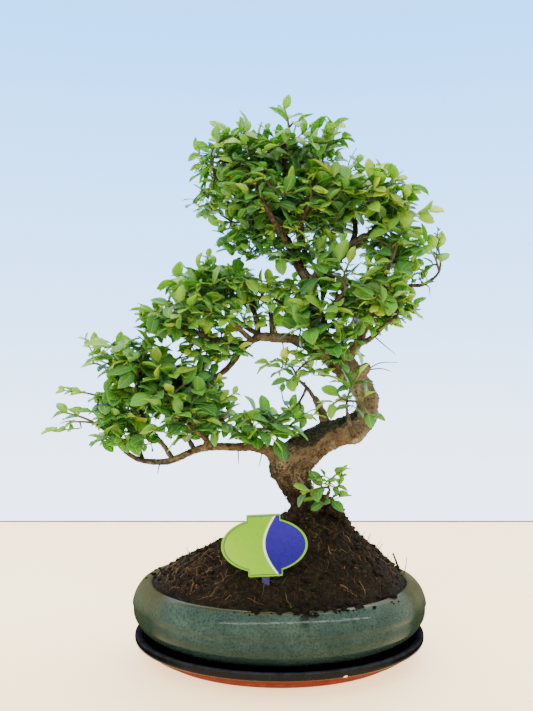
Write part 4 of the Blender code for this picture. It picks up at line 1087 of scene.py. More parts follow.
SMALL_PADS = {
    "stub": ((14, -12, 254), (25, 13, 19)),
    "collar": ((16, -18, 214), (15, 11, 9)),
    "low_collar": ((-14, -20, 203), (27, 18, 15)),
    "riser": ((64, -26, 226), (20, 10, 20)),
    "base": ((38, -26, 151), (17, 8, 17)),
    "fork": ((14, -8, 364), (38, 26, 22)),
    "mid_under": ((-14, -4, 297), (40, 22, 15)),
    "low_under": ((-132, -6, 192), (30, 18, 10)),
    "crown_beak": ((-62, 0, 446), (20, 16, 14)),
    "crown_heel": ((-57, 0, 405), (22, 22, 22)),
    "crown_under": ((-30, -4, 366), (22, 20, 20)),
    "right_reach": ((120, -4, 396), (22, 14, 10)),
    "heart": ((66, -24, 302), (34, 13, 26)),
    "trunk_low_front": ((48, -28, 270), (24, 9, 15)),
    "crown_cover": ((-22, -49, 402), (24, 9, 19)),
    "mid_cover": ((-66, -45, 300), (36, 9, 14)),
    "low_cover": ((-80, -47, 214), (24, 9, 26)),
    "right_cover": ((86, -43, 326), (20, 9, 20)),
    "far_round": ((130, -3, 336), (15, 12, 12)),
}


def leaf_faces(rows, cols):
    """Faces of a leaf: a grid above, the same below, and a rim between them."""
    under = rows * cols
    faces = []
    for r in range(rows - 1):
        for c in range(cols - 1):
            a = r * cols + c
            quad = (a, a + 1, a + cols + 1, a + cols)
            faces += [quad, tuple(under + i for i in reversed(quad))]
    rim = [(r * cols, cols, False) for r in range(rows - 1)]
    rim += [(r * cols + cols - 1, cols, True) for r in range(rows - 1)]
    rim += [(c, 1, True) for c in range(cols - 1)] + [(under - cols + c, 1, False) for c in range(cols - 1)]
    for a, step, flip in rim:
        quad = (a, a + step, under + a + step, under + a)
        faces.append(tuple(reversed(quad)) if flip else quad)
    return faces


FACES = {shape: leaf_faces(len(shape[0]), len(shape[1])) for _, shape in SHAPES}


def add_leaf(soup, leaf, age, rng):
    """A thin blade, folded along its midrib, with a wavy edge, a sweep to one side and a twist."""
    along = leaf["along"]
    normal = leaf["normal"]
    across = along.cross(normal)
    length = leaf["length"]
    fold = rng.uniform(*LEAF_FOLD)
    wave = rng.uniform(*LEAF_WAVE)
    phase = rng.uniform(0, math.tau)
    sweep = rng.uniform(*LEAF_SWEEP)
    twist = rng.uniform(*LEAF_TWIST)
    wide = rng.uniform(*LEAF_WIDTH)
    chance = rng.random()
    shape = next(shape for longest, shape in SHAPES if length <= longest)
    upper = []
    lower = []
    tints = []
    for t, width in shape[0]:
        lift = leaf["rise"] * t - leaf["droop"] * t * t
        lean = twist * t
        half = normal * (FINE_HALF + (STALK_HALF if t < 0.1 else 0.0))
        for side in shape[1]:
            out = side * width * wide
            ripple = wave * math.sin(WAVES_ALONG * t + phase) * abs(side) * (width > 0.05)
            up = lift + fold * abs(out) + ripple
            off = out * math.cos(lean) + sweep * t * t
            up += out * math.sin(lean)
            spot = leaf["root"] + (along * t + normal * up + across * off) * length
            upper.append(spot + half)
            lower.append(spot - half)
            tints.append((age, chance, t, side / 2 + 0.5))
    soup.add(upper + lower, FACES[shape], tints + tints)


def pad_of(name):
    return PADS[name] if name in PADS else SMALL_PADS[name]


def pad_share(spot, pad):
    """How far out a point lies, 1 being the pad's edge, and how high, from 0 at its foot to 1 at its top."""
    way = spot - Vector(pad[0])
    out = Vector(a / b for a, b in zip(way, pad[1])).length
    return out, 0.5 + 0.5 * way.z / pad[1][2]


def leaf_age(leaf, name, level, rng):
    """0 for an old dark leaf deep inside, 1 for a young bright one at a tip."""
    out, high = pad_share(leaf_spot(leaf, 0.6, 0, 0), pad_of(name))
    age = AGE_LEAST + AGE_OUT * min(1.0, out) ** 2 + AGE_HIGH * high + rng.gauss(0, AGE_SPREAD)
    return clamp(age + FILLS[name][3] + AGE_FORWARD[level])


def scatter(sprays, rng):
    """Places for more pairs of leaves: points in each pad, kept apart from each other and from the rest."""
    used = np.array([leaf["root"] for spray in sprays for leaf in spray["leaves"]])
    found = []
    for name, (gap, _, open_share, _) in FILLS.items():
        pad = pad_of(name)
        middle = Vector(pad[0])
        for _ in range(FILL_TRIES if name in PADS else FILL_TRIES // 6):
            way = Vector((rng.gauss(0, 1), rng.gauss(0, 1), rng.gauss(0, 1))).normalized()
            out = rng.uniform(FILL_INNER, 1.0) ** 0.5
            if way.z < UNDERSIDE:
                out *= UNDERSIDE_REACH
            out *= 1 + PAD_WAVE * noise.noise(way * 2.3 + middle * 0.1)
            spot = middle + Vector(a * b for a, b in zip(way * out, pad[1]))
            if noise.noise(spot * OPEN_SCALE + OPEN_PLACE) * 0.9 + 0.5 < open_share:
                continue
            if np.min(np.sum((used - np.array(spot)) ** 2, axis=1)) < gap**2:
                continue
            used = np.vstack((used, np.array(spot)))
            found.append((spot, name))
    return found


def is_bare(spot):
    """Whether a place lies where the crown thins out to single shoots."""
    reach = EDGE_WAVE * noise.noise(spot * 0.08)
    if any(Vector(way).dot(spot) > limit + reach for way, limit in LOOSE_EDGES):
        return True
    patchy = noise.noise(spot * THIN_SCALE) > THIN_ABOVE
    return patchy and any(pad_share(spot, place)[0] < 1 for place in THIN_PLACES)


def first_anchors(sprays, routes, spurs):
    """Where twigs can start on the thin wood and on the shoots, as (point, direction, no parent)."""
    anchors = []
    for path in [*routes.values(), *spurs.values()]:
        for (before, _), (spot, radius) in zip(path, path[1:]):
            if radius < ANCHOR_RADIUS:
                anchors.append((spot, (spot - before).normalized(), -1))
    for path in [path for spray in sprays for path in spray["shoots"]]:
        for (before, _), (spot, _) in zip(path, path[1:]):
            heading = (spot - before).normalized()
            anchors += [(spot, heading, -1), ((before + spot) / 2, heading, -1)]
    return anchors


def grow_twigs(sprays, routes, spurs, rng):
    """Twigs that join the scattered places to the nearest wood, shoot or twig, the closest first."""
    places = scatter(sprays, rng)
    anchors = first_anchors(sprays, routes, spurs)
    spots = np.array([spot for spot, _ in places])
    best = np.full(len(places), FAR)
    nearest = np.zeros(len(places), int)

    def offer(index):
        away = np.sqrt(np.sum((spots - np.array(anchors[index][0])) ** 2, axis=1))
        closer = away < best
        best[closer] = away[closer]
        nearest[closer] = index

    for index in range(len(anchors)):
        offer(index)
    twigs = []
    waiting = np.ones(len(places), bool)
    while waiting.any():
        pick = int(np.argmin(np.where(waiting, best, FAR)))
        waiting[pick] = False
        if best[pick] > TWIG_REACH:
            break
        start, heading, parent = anchors[nearest[pick]]
        end, pad = places[pick]
        reach = (end - start).length
        if reach < TWIG_LEAST:
            continue
        control = start + (heading + TWIG_RISE) * reach * TWIG_CURVE
        mid = bow(start, control, end, 0.5)
        if parent >= 0:
            twigs[parent]["tip"] = False
        anchors.append((end, (end - mid).normalized(), len(twigs)))
        twigs.append({"path": [start, mid, end], "parent": parent, "pad": pad, "load": 1, "tip": True})
        offer(len(anchors) - 1)
    for twig in reversed(twigs):
        if twig["parent"] >= 0:
            twigs[twig["parent"]]["load"] += twig["load"]
    for twig in twigs:
        thinned = is_bare(twig["path"][2]) and not twig["pad"].endswith("_cover")
        twig["bare"] = thinned or (twig["parent"] >= 0 and twigs[twig["parent"]]["bare"])
    return twigs, [spot for spot, _, number in anchors if number < 0 or not twigs[number]["bare"]]


def wide_leaf(root, axis, azimuth, angle, length, middle, rng):
    """A leaf as the solids have them, but turned further outward, so that its face shows."""
    leaf = make_leaf(root, axis, azimuth, angle, length, middle, rng)
    along = leaf["along"]
    along.z *= WIDE_FLAT[0 if along.z > 0 else 1]
    leaf["along"] = along.normalized()
    normal = WIDE_UP + (root - middle).normalized() * WIDE_OUT + random_way(rng) * WIDE_SWAY
    normal -= leaf["along"] * normal.dot(leaf["along"])
    leaf["normal"] = normal.normalized()
    return leaf


def dress_spray(soup, spray, rng):
    """A spray's own shoots, with a bud each, and its own leaves."""
    for path in spray["shoots"]:
        line = smooth_path(path, 3.0)
        chance = rng.random()
        grown = [i / (len(line) - 1) for i in range(len(line)) for _ in range(SHOOT_SIDES)] + [0, 1]
        soup.rod(line, SHOOT_SIDES, [(0.3 + 0.7 * share, chance, 0, 0) for share in grown], 1)
        tip, before = path[-1][0], path[-2][0]
        add_bud(soup, tip, (tip - before).normalized(), rng)
    for leaf in spray["leaves"]:
        add_leaf(soup, leaf, leaf_age(leaf, spray["pad"], leaf["pair"][1], rng), rng)


def dress_twig(soup, twig, rng):
    """A twig with a pair of leaves at its end, and at a tip with another pair further back and a bud."""
    pad = pad_of(twig["pad"])
    scale = FILLS[twig["pad"]][1]
    below = Vector(pad[0]) - Vector((0, 0, pad[1][2] * 0.8))
    thick = min(TWIG_THICK, TWIG_THIN + TWIG_GROWTH * math.sqrt(twig["load"]))
    start, mid, end = twig["path"]
    line = smooth_path([(start, thick), (mid, thick * 0.93), (end, thick * 0.86)], 4.5)
    green = max(0.0, 1.0 - twig["load"] * 0.12)
    soup.rod(line, 4 if thick < 0.75 else 6, (0.15 + 0.75 * green, rng.random(), 0, 0), 1)
    axis = (end - mid).normalized()
    azimuth = rng.uniform(0, math.pi)
    for level in range(2 if twig["tip"] else 1):
        foremost = twig["tip"] and level == 0
        place = end - axis * (0.6 + TWIG_PAIR_GAP * level * rng.uniform(0.8, 1.2))
        if level and (end - start).length < TWIG_TWO_PAIRS:
            continue
        length = rng.uniform(*TWIG_LENGTHS[foremost]) * scale * rng.choice(TWIG_SIZES)
        for half_turn in (0, 1):
            turn = azimuth + math.pi * half_turn + math.pi / 2 * level + rng.uniform(-0.4, 0.4)
            angle = math.radians(rng.uniform(*TWIG_ANGLES[foremost]))
            size = length * rng.uniform(0.88, 1.1)
            leaf = wide_leaf(place, axis, turn, angle, size, below, rng)
            age = leaf_age(leaf, twig["pad"], level if twig["tip"] else 1, rng)
            add_leaf(soup, leaf, age, rng)
    if twig["tip"]:
        add_bud(soup, end, axis, rng)


def foliage(sprays, routes, spurs, materials):
    """One piece for each spray: its own shoots and leaves, and the twigs that are nearest to it."""
    rng = random.Random(SEED + 900)
    twigs, anchors = grow_twigs(sprays, routes, spurs, rng)
    soups = [Soup() for _ in sprays]

    def owner(spot):
        return min(range(len(sprays)), key=lambda i: (sprays[i]["middle"] - spot).length)

    for spray, soup in zip(sprays, soups):
        dress_spray(soup, spray, rng)
    for twig in twigs:  # a bare twig makes its draws as well, but goes into a soup that isn't kept
        dress_twig(Soup() if twig["bare"] else soups[owner(twig["path"][1])], twig, rng)
    for sprig in SPRIGS:
        add_sprig(soups[owner(Vector(sprig[0]))], sprig, anchors, rng)
    for spray, soup in zip(sprays, soups):
        dress(soup.make(spray["name"] + "_leaves", materials), "foliage", spray["name"])


SPRIGS = (  # tip, way it points, pairs of leaves, leaf length, age
    ((141, -6, 376), (0.05, 0, 1), 6, 7, 0.5),
    ((-31, -6, 462), (-0.2, -0.2, 1), 1, 18, 0.85), ((-54, -2, 456), (-0.6, -0.2, 1), 2, 12, 0.6),
    ((27, -4, 468), (1, -0.3, 0.7), 2, 14, 0.75), ((-12, -4, 466), (-0.3, -0.2, 1), 2, 12, 0.7),
    ((90, -4, 431), (0.15, -0.2, 1), 3, 14, 0.85), ((104, -8, 420), (0.6, -0.3, 0.8), 2, 17, 0.85),
    ((133, -10, 392), (1, -0.2, 0.2), 3, 20, 0.95), ((112, -12, 408), (1, -0.3, 0.4), 2, 18, 0.9),
    ((70, -6, 436), (-0.3, -0.3, 1), 2, 15, 0.75), ((112, -14, 306), (1, -0.4, -0.35), 3, 12, 0.75),
    ((108, -16, 320), (1, -0.5, 0.1), 2, 13, 0.7), ((-172, -6, 279), (-0.5, -0.2, 1), 2, 10, 0.85),
    ((-203, -8, 198), (-1, -0.1, -0.1), 4, 11, 0.9), ((-190, -8, 234), (-1, -0.2, 0.15), 3, 11, 0.9),
    ((-122, -6, 300), (-0.5, -0.3, 0.9), 2, 11, 0.8), ((-64, -6, 352), (-0.3, -0.2, 1), 2, 12, 0.7),
    ((-40, -28, 232), (0.8, -0.3, 0.5), 3, 11, 0.95), ((-52, -26, 244), (0.7, -0.3, 0.7), 2, 10, 0.9),
    ((54, -26, 165), (0.25, -0.2, 1), 3, 10, 0.8), ((2, -16, 233), (-0.2, -0.2, 1), 1, 13, 0.45),
)
SPRIG_SIZES = (0.8, 1.0, 0.9, 0.85, 0.8, 0.8)  # of each pair of leaves from the tip down


def add_sprig(soup, sprig, anchors, rng):
    """A slender shoot with pairs of leaves along it that face the viewer, from the nearest wood or shoot."""
    tip, heading, pairs, length, age = sprig
    tip = Vector(tip)
    heading = Vector(heading).normalized()
    gap = length * 0.62
    foot = tip - heading * (gap * pairs)
    start = min(anchors, key=lambda spot: (spot - foot).length)
    line = smooth_path([(start, 0.8), ((start + foot) / 2, 0.75), (foot, 0.65), (tip, 0.45)], 3.0)
    soup.rod(line, 5, (0.75, rng.random(), 0, 0), 1)
    turn = rng.uniform(-0.3, 0.3)
    for level in range(pairs):
        place = tip - heading * (0.5 + gap * level)
        for half_turn in (0, 1):
            side = turn + math.pi * half_turn + (math.pi / 2 * level if level % 2 else 0) * 0.7
            size = length * SPRIG_SIZES[level] * rng.uniform(0.9, 1.08)
            angle = rng.uniform(0.5, 0.8 + 0.1 * level)
            leaf = wide_leaf(place, heading, side, angle, size, place - heading * 20, rng)
            leaf["normal"] = (leaf["normal"] + Vector((0, -0.7, 0))).normalized()
            leaf["normal"] -= leaf["along"] * leaf["normal"].dot(leaf["along"])
            leaf["normal"].normalize()
            add_leaf(soup, leaf, clamp(age - 0.08 * level + rng.gauss(0, 0.06)), rng)


def add_bud(soup, spot, axis, rng):
    """Two leaves just unfolding at a shoot's tip."""
    azimuth = rng.uniform(0, math.pi)
    for half_turn in (0, 1):
        side = Matrix.Rotation(azimuth + math.pi * half_turn, 3, axis) @ axis.orthogonal().normalized()
        along = (axis + side * 0.3).normalized()
        normal = (along * side.dot(along) - side).normalized()
        leaf = {"root": spot - axis * 0.4, "along": along, "normal": normal, "rise": 0.0, "droop": 0.1}
        leaf["length"] = rng.uniform(*BUD_LENGTHS)
        add_leaf(soup, leaf, rng.uniform(0.8, 1.0), rng)


# Wood

KNOBS = (  # middle, reach, height
    ((-7, -5, 167), 7, 4.6), ((-6, -5, 158), 4.5, 3.0), ((80, -6, 256), 5.5, 6.5), ((87, -9, 259), 2.8, -3.5),
    ((68, -5, 190), 8, 3.2), ((-2, -8, 172), 7, 1.6), ((2, -14, 181), 7, 2.0), ((70, -8, 197), 8, 2.4),
    ((18, -15, 158), 9, 1.8), ((88, -2, 226), 7, 1.8), ((66, -2, 256), 8, 2.2), ((45, -12, 270), 8, 1.8),
    ((30, -10, 196), 7, -1.6), ((52, -14, 208), 9, 1.2), ((8, -12, 148), 7, -1.4),
)
WOOD_STEP = 2.0
STOUT = 2.9  # radius above which wood belongs to the bark piece
STUB_SWELL = 1.14
BARK_VOXEL = 1.15 * MM
BARK_SCALE = 0.3  # of the cracks and plates, with the way along the wood counted less
FULL_BARK = 11  # radius at which bark is as deep as it gets
CRACK_DEPTH = 1.3
CRACK_NARROW = 3.2
PLATE_HEIGHT = 0.7
RING_HEIGHT = 0.6
PALE_ELBOW = ((80, 0, 226), 26)  # middle, reach
# painted shade in the hollow near the elbow stub: middle, reach
PAINTED_HOLLOW_SHADE = ((87, -9, 258), 4)
MOSSY_TOP = (168, 222)  # heights between which moss grows on top of the wood


def wood_paths():
    """Every length of wood as (name, fine path), thick ones first."""
    groups = {"trunk": TRUNK, **STUBS, **ROOTS, **BRANCHES}
    return [(name, smooth_path(points, WOOD_STEP)) for name, points in groups.items()]


def melted(paths, material):
    """The stout wood as one skin, and its cores: (point, radius, way travelled, name of the length)."""
    soup = Soup()
    cores = []
    travelled = 0.0
    for name, path in paths:
        keep = [(spot, radius) for spot, radius in path if radius > STOUT or name in ROOTS or name in STUBS]
        if len(keep) < 3:
            continue
        if name in STUBS:
            keep = [(spot, radius * STUB_SWELL) for spot, radius in keep]
        soup.rod(keep, 24 if name == "trunk" else 14, (0, 0, 0, 0), tip=0.3)
        before = keep[0][0]
        for spot, radius in keep:
            travelled += (spot - before).length
            before = spot
            cores.append((spot, radius, travelled, name))
    obj = soup.make("bark", [material])
    remesh = obj.modifiers.new("skin", "REMESH")
    remesh.mode = "VOXEL"
    remesh.voxel_size = BARK_VOXEL
    smooth = obj.modifiers.new("soften", "SMOOTH")
    smooth.factor = 0.5
    smooth.iterations = 5
    apply_modifiers(obj)
    return obj, cores


def bark_form(spot, core, radius, travelled, name):
    """How far a point of the skin moves out, how deep in a crack it lies, and the plates of bark there."""
    away = spot - core
    q = Vector((away.x * BARK_SCALE, away.y * BARK_SCALE, away.z * BARK_SCALE + travelled * 0.05))
    crack = max(0.0, 1 - abs(noise.noise(q * 1.6 + Vector((7, 3, 1)))) * CRACK_NARROW) ** 2
    plates = noise.noise(q * 4.2)
    size = min(1.0, radius / FULL_BARK)
    rings = max(0.0, math.sin(travelled * 0.55 + 2.5 * noise.noise(away * 0.12))) ** 8
    ridges = abs(noise.noise(Vector((away.x * 0.5, away.y * 0.5, travelled * 0.09))))
    move = size * (PLATE_HEIGHT * plates - CRACK_DEPTH * crack + RING_HEIGHT * rings)
    move += size * (0.8 - 2.75 * ridges + 1.1 * fractal(spot, 0.11)) + 0.5 * fractal(spot, 0.33)
    move += sum(height * hill(spot, knob, reach) for knob, reach, height in KNOBS)
    move += clamp((150 - spot.z) / 22) * (1.6 * fractal(spot, 0.16) + 1.0 * noise.noise(spot * 0.45))
    if name == "trunk" and spot.z > BARK_STARTS:
        move += (noise.noise(spot * 0.05) + 0.6 * noise.noise(spot * 0.12)) * BARK_LUMPS
    return move, crack, plates


def bark_tint(spot, normal, crack, plates, name):
    """(dark, moss, warmth, peat) at a point of the skin."""
    patchy = fractal(spot, 0.05)
    on_top = MOSSY_TOP[0] < spot.z < MOSSY_TOP[1] and name in ("trunk", "stub_top")
    reach = max(0.0, 1 - abs(spot.x - 38) / 34) ** 0.5 if on_top else 0.0
    top = reach * max(0.0, normal.z + 0.1 - 0.2 * normal.x)
    low = clamp((176 - spot.z) / 30) * (0.5 - 0.4 * normal.x)
    moss = clamp(1.5 * top * (0.8 + 0.8 * patchy) + 0.6 * low + 0.35 * max(0.0, patchy - 0.1))
    peat = clamp((160 - spot.z) / 25 + 0.3 * patchy)
    warmth = 0.45 + 0.3 * normal.x + 0.7 * fractal(spot, 0.04) - 0.9 * hill(spot, *PALE_ELBOW)
    warmth = clamp(warmth + max(0.0, min(0.5, (172 - spot.z) / 50)))
    if name == "stub_top" and spot.z > 209:
        moss, warmth, crack = 0.0, 0.1, crack * 0.3
    # darker low on the trunk and high up, with painted shade in the hollow near the elbow stub
    deep = 0.5 * clamp((184 - spot.z) / 30) + 0.3 * clamp((spot.z - 290) / 50) + hill(spot, *PAINTED_HOLLOW_SHADE)
    return crack * 0.8 + max(0.0, -plates) * 0.4 + deep, moss, warmth, peat


def thick_wood(paths, material):
    """Trunk, roots, stubs and the stout ends of the branches, melted into one skin and given bark."""
    obj, cores = melted(paths, material)
    mesh = obj.data
    tree = kdtree.KDTree(len(cores))
    for i, (spot, _, _, _) in enumerate(cores):
        tree.insert(spot, i)
    tree.balance()
    normals = [vert.normal.copy() for vert in mesh.vertices]
    tints = []
    for vert, normal in zip(mesh.vertices, normals):
        spot = vert.co / MM
        core, radius, travelled, name = cores[tree.find(spot)[1]]
        move, crack, plates = bark_form(spot, core, radius, travelled, name)
        vert.co += normal * move * MM
        tints.append(bark_tint(spot, normal, crack, plates, name))
    set_tints(mesh, tints)
    mesh.materials.clear()
    mesh.materials.append(material)
    mesh.polygons.foreach_set("use_smooth", [True] * len(mesh.polygons))
    mesh.update()
    return obj


def thin_wood(paths, spurs, materials):
    """Branches, whose stout ends lie inside the bark piece, and the spurs that carry sprays."""
    rng = random.Random(SEED + 40)
    soup = Soup()
    for name, path in paths:
        if name not in BRANCHES:
            continue
        line = []
        for i, (spot, radius) in enumerate(path):
            ridge = 1 + 0.16 * max(0.0, math.sin(i * 0.9 + len(name))) ** 6
            sway = Vector((noise.noise(spot * 0.22), noise.noise(spot * 0.22 + Vector((9, 0, 0))), 0)) * 0.35
            line.append((spot + sway, radius * ridge * (0.9 if radius > STOUT else 1.0)))
        points, faces = stick(line, 12 if path[0][1] > 2.5 else 9)
        tints = []
        for spot in points:
            crack = max(0.0, 1 - abs(noise.noise(spot * 0.7)) * 4)
            warmth = 0.4 + 0.5 * noise.noise(spot * 0.05)
            deep = 0.3 * clamp((spot.z - 280) / 50)
            tints.append((0.25 + crack * 0.7 + deep, 0.3, max(0.0, warmth), 0))
        soup.add(points, faces, tints)
    for path in spurs.values():
        soup.rod(smooth_path(path, 3.0), 8, (0.45, 0.3, rng.random() * 0.5, 0))
    return soup.make("twigs", materials)


BARE_TWIGS = (
    (105, -10, 259), (99, -8, 251), (103, -8, 266), (-76, 2, 434), (-60, 6, 428), (2, -12, 262),
    (14, -14, 262), (32, -12, 256), (70, 2, 452), (78, 6, 446), (20, -14, 212), (-106, -20, 162),
    (-36, -14, 170), (-18, -18, 168), (-46, -14, 372), (134, -6, 318), (-84, -18, 246), (24, -4, 240),
)


def bare_twigs(material, anchors):
    """A few thin dead twigs that carry no leaves, each from the nearest wood."""
    rng = random.Random(SEED + 60)
    soup = Soup()
    for end in map(Vector, BARE_TWIGS):
        start = min(anchors, key=lambda spot: (spot - end).length)
        mid = (start + end) / 2 + Vector((rng.uniform(-2, 2), rng.uniform(-2, 2), rng.uniform(0, 3)))
        line = smooth_path([(start, 0.7), (mid, 0.5), (end, 0.28)], 3)
        soup.rod(line, 6, (0.3, rng.random(), 0, 0))
    return soup.make("bare_twigs", [material])


# Soil

PEAT_STEPS = 192  # points round the mound
PEAT_RINGS = 74
SOIL_EDGE = POT_INSIDE[-1][0] - 1.4 * GAP / MM
CRUMBS = 2900
ROOT_CRUMBS = 1300
CRUMB_RADIUS = (0.45, 1.7, 2.9)  # least, how fast larger ones get rare, largest
ROOT_CRUMB_RADIUS = (0.6, 2.0)
SPILL_RADIUS = ((0.7, 2.0), (2.0, 3.9))
SPILL_OUT = (110.5, 13)  # from where on the rim, and how far
RIM_MIDDLE = 117
RIM_ROUND = (50, 15.8, 13)  # base, height and half width of the rim's rounding
HEAP = (7.5, 34, -3, 20, 17)  # height, middle and half sizes of the earth against the trunk
FIBRES = 2300
FIBRE_STEPS = 5
FIBRES_REACH = 111
FIBRE_CURLS = (0.15, 0.35, 0.8)
FIBRE_THICK = ((0.12, 0.28), (0.35, 0.6))
FIBRE_LENGTHS = ((4, 11), (11, 26))
STANDING_THICK = (0.16, 0.42)
STANDING_LENGTH = (4, 14)
SPILLS = (  # middle and spread of the angle round the rim, number of crumbs
    (-99, 3.5, 24), (-91, 1.6, 16), (-83, 2.2, 44), (-76, 2, 24), (-70, 3.5, 50), (-57, 2.5, 30), (-40, 2, 6),
    (150, 30, 20), (60, 25, 16),
)
BROKEN_TWIGS = (  # foot, tip, thickness, tone
    ((108, 0, 62), (102, -1, 88), 1.2, 0.05), ((107, -6, 62), (113, -8, 87), 0.45, 0.6),
    ((101, 4, 66), (98, 2, 82), 0.6, 0.3), ((-78, 0, 74), (-83, 0, 93), 0.5, 0.4),
    ((-86, -8, 68), (-88, -10, 84), 0.35, 0.5), ((90, -20, 66), (96, -22, 82), 0.4, 0.7),
    ((12, -4, 126), (4, -8, 141), 0.45, 0.3), ((74, -6, 96), (81, -8, 108), 0.35, 0.7),
    ((84, -2, 88), (92, -4, 98), 0.4, 0.5),
)


def oval(radius, height, steps):
    """Points round the pot's oval."""
    angles = [math.tau * k / steps for k in range(steps)]
    return [Vector((radius * math.cos(a), radius * OVAL_DEPTH * math.sin(a), height)) for a in angles]


def oval_radius(spot):
    return math.hypot(spot.x, spot.y / OVAL_DEPTH)


def mound(x, y):
    """(height, share) of the mound under a point, as its solid has it."""
    peak = SOIL_PEAK.xy
    way = Vector((x, y)) - peak
    if way.length < 1e-6:
        return SOIL_PEAK.z, 0.0
    deep = SOIL_EDGE * OVAL_DEPTH
    a = (way.x / SOIL_EDGE) ** 2 + (way.y / SOIL_EDGE / OVAL_DEPTH) ** 2
    b = 2 * (peak.x * way.x / SOIL_EDGE**2 + peak.y * way.y / deep**2)
    c = (peak.x / SOIL_EDGE) ** 2 + (peak.y / SOIL_EDGE / OVAL_DEPTH) ** 2 - 1
    share = min(1.0, 2 * a / (-b + math.sqrt(b * b - 4 * a * c)))
    return soil_height(Vector((x, y, 0)), share), share


def clods(spot, share):
    """Height of clods on the mound, less towards the rim, with earth heaped against the trunk."""
    flat = Vector((spot.x, spot.y, 0))
    size = fractal(flat, 0.1, 4) * 3.2 + abs(noise.noise(flat * 0.33)) * 3.4 + noise.noise(flat * 1.1) * 0.9
    height, x, y, wide, deep = HEAP
    heap = height * math.exp(-(((spot.x - x) / wide) ** 2 + ((spot.y - y) / deep) ** 2))
    return (size - 1.0) * min(1.0, 0.35 + 3 * (1 - share)) + heap


def soil_piece(material):
    """The mound with its clods, closed by the form that fills the pot."""
    peak = SOIL_PEAK.xy.to_3d()
    rim = oval(SOIL_EDGE, 0, PEAT_STEPS)
    points = [SOIL_PEAK + Vector((0, 0, clods(SOIL_PEAK, 0)))]
    tones = [0.3]
    for number in range(1, PEAT_RINGS + 1):
        share = number / PEAT_RINGS
        for edge in rim:
            spot = peak.lerp(edge, share)
            spot.z = soil_height(spot, share) + clods(spot, share)
            points.append(spot)
            tones.append(max(0.0, fractal(spot, 0.05)) * 0.8)
    for radius, height in reversed(POT_INSIDE[:-1]):
        points += oval(radius - 1.4 * GAP / MM, height + GAP / MM, PEAT_STEPS)
    points.append(Vector((0, 0, POT_FLOOR + GAP / MM)))
    tones += [0] * (len(points) - len(tones))
    faces = shell_faces(PEAT_RINGS + len(POT_INSIDE) - 1, PEAT_STEPS, flip=True)
    soup = Soup()
    soup.add(points, faces, [(tone, 0, 0, 0) for tone in tones])
    return soup.make("peat", [material])


def lump(rng, radius, spot):
    """(points, faces) of an irregular crumb round a point."""
    bm = bmesh.new()
    bmesh.ops.create_icosphere(bm, subdivisions=2 if radius > 1.6 else 1, radius=1)
    points, faces = taken(bm)
    shift = Vector((rng.uniform(0, 99), rng.uniform(0, 99), rng.uniform(0, 99)))
    squash = Vector((rng.uniform(0.7, 1.3), rng.uniform(0.7, 1.3), rng.uniform(0.5, 0.9)))
    sizes = [radius * (0.8 + 0.75 * noise.noise(p * 1.3 + shift)) for p in points]
    return [spot + p * squash * size for p, size in zip(points, sizes)], faces


def random_spot(rng, far=1.0):
    """A random point of the mound, evenly over its plan."""
    edge = POT_INSIDE[-1][0] - 2
    while True:
        x = rng.uniform(-edge, edge)
        y = rng.uniform(-edge, edge) * OVAL_DEPTH
        if (x / edge) ** 2 + (y / edge / OVAL_DEPTH) ** 2 < far:
            height, share = mound(x, y)
            spot = Vector((x, y, height))
            spot.z += clods(spot, share)
            return spot, share


def crumbs(material, bark):
    """Crumbs of peat on the mound and the roots, some of them mossy, and some spilt on the rim."""
    rng = random.Random(SEED + 70)
    soup = Soup()
    least, rare, largest = CRUMB_RADIUS
    start, reach = SPILL_OUT
    base, height, half = RIM_ROUND
    for _ in range(CRUMBS):
        spot, share = random_spot(rng)
        radius = min(largest, least + rng.expovariate(rare))
        moss = rng.random() < 0.04 + 0.3 * (share < 0.3)
        tone = rng.random() ** 1.8 * (0.86 if radius > 1.5 else 1.0)
        form = lump(rng, radius, spot + Vector((0, 0, radius * 0.25)))
        soup.add(*form, (tone, 1.0 if moss and radius < 1.6 else 0.0, 0, 0))
    roots = BVHTree.FromObject(bark, bpy.context.evaluated_depsgraph_get())
    for _ in range(ROOT_CRUMBS):
        above = Vector((rng.gauss(34, 17), rng.gauss(-6, 15), 160)) * MM
        hit, normal, _, _ = roots.ray_cast(above, Vector((0, 0, -1)))
        if hit is None or hit.z > 0.146 or normal.z < 0.1:
            continue
        form = lump(rng, rng.uniform(*ROOT_CRUMB_RADIUS), hit / MM)
        soup.add(*form, (rng.random() ** 1.8, 1.0 if rng.random() < 0.22 else 0.0, 0, 0))
    for middle, spread, number in SPILLS:
        for _ in range(number):
            angle = math.radians(rng.gauss(middle, spread))
            out = start + reach * rng.random() ** 1.6
            radius = rng.uniform(*SPILL_RADIUS[0 if rng.random() < 0.7 or out > 119 else 1])
            top = base + height * math.sqrt(1 - (max(0.0, out - RIM_MIDDLE) / half) ** 2)
            spot = Vector((out * math.cos(angle), out * OVAL_DEPTH * math.sin(angle), top + radius * 0.3))
            soup.add(*lump(rng, radius, spot), (rng.random() ** 2 * 0.6, 0, 0, 0))
    return soup.make("crumbs", [material])


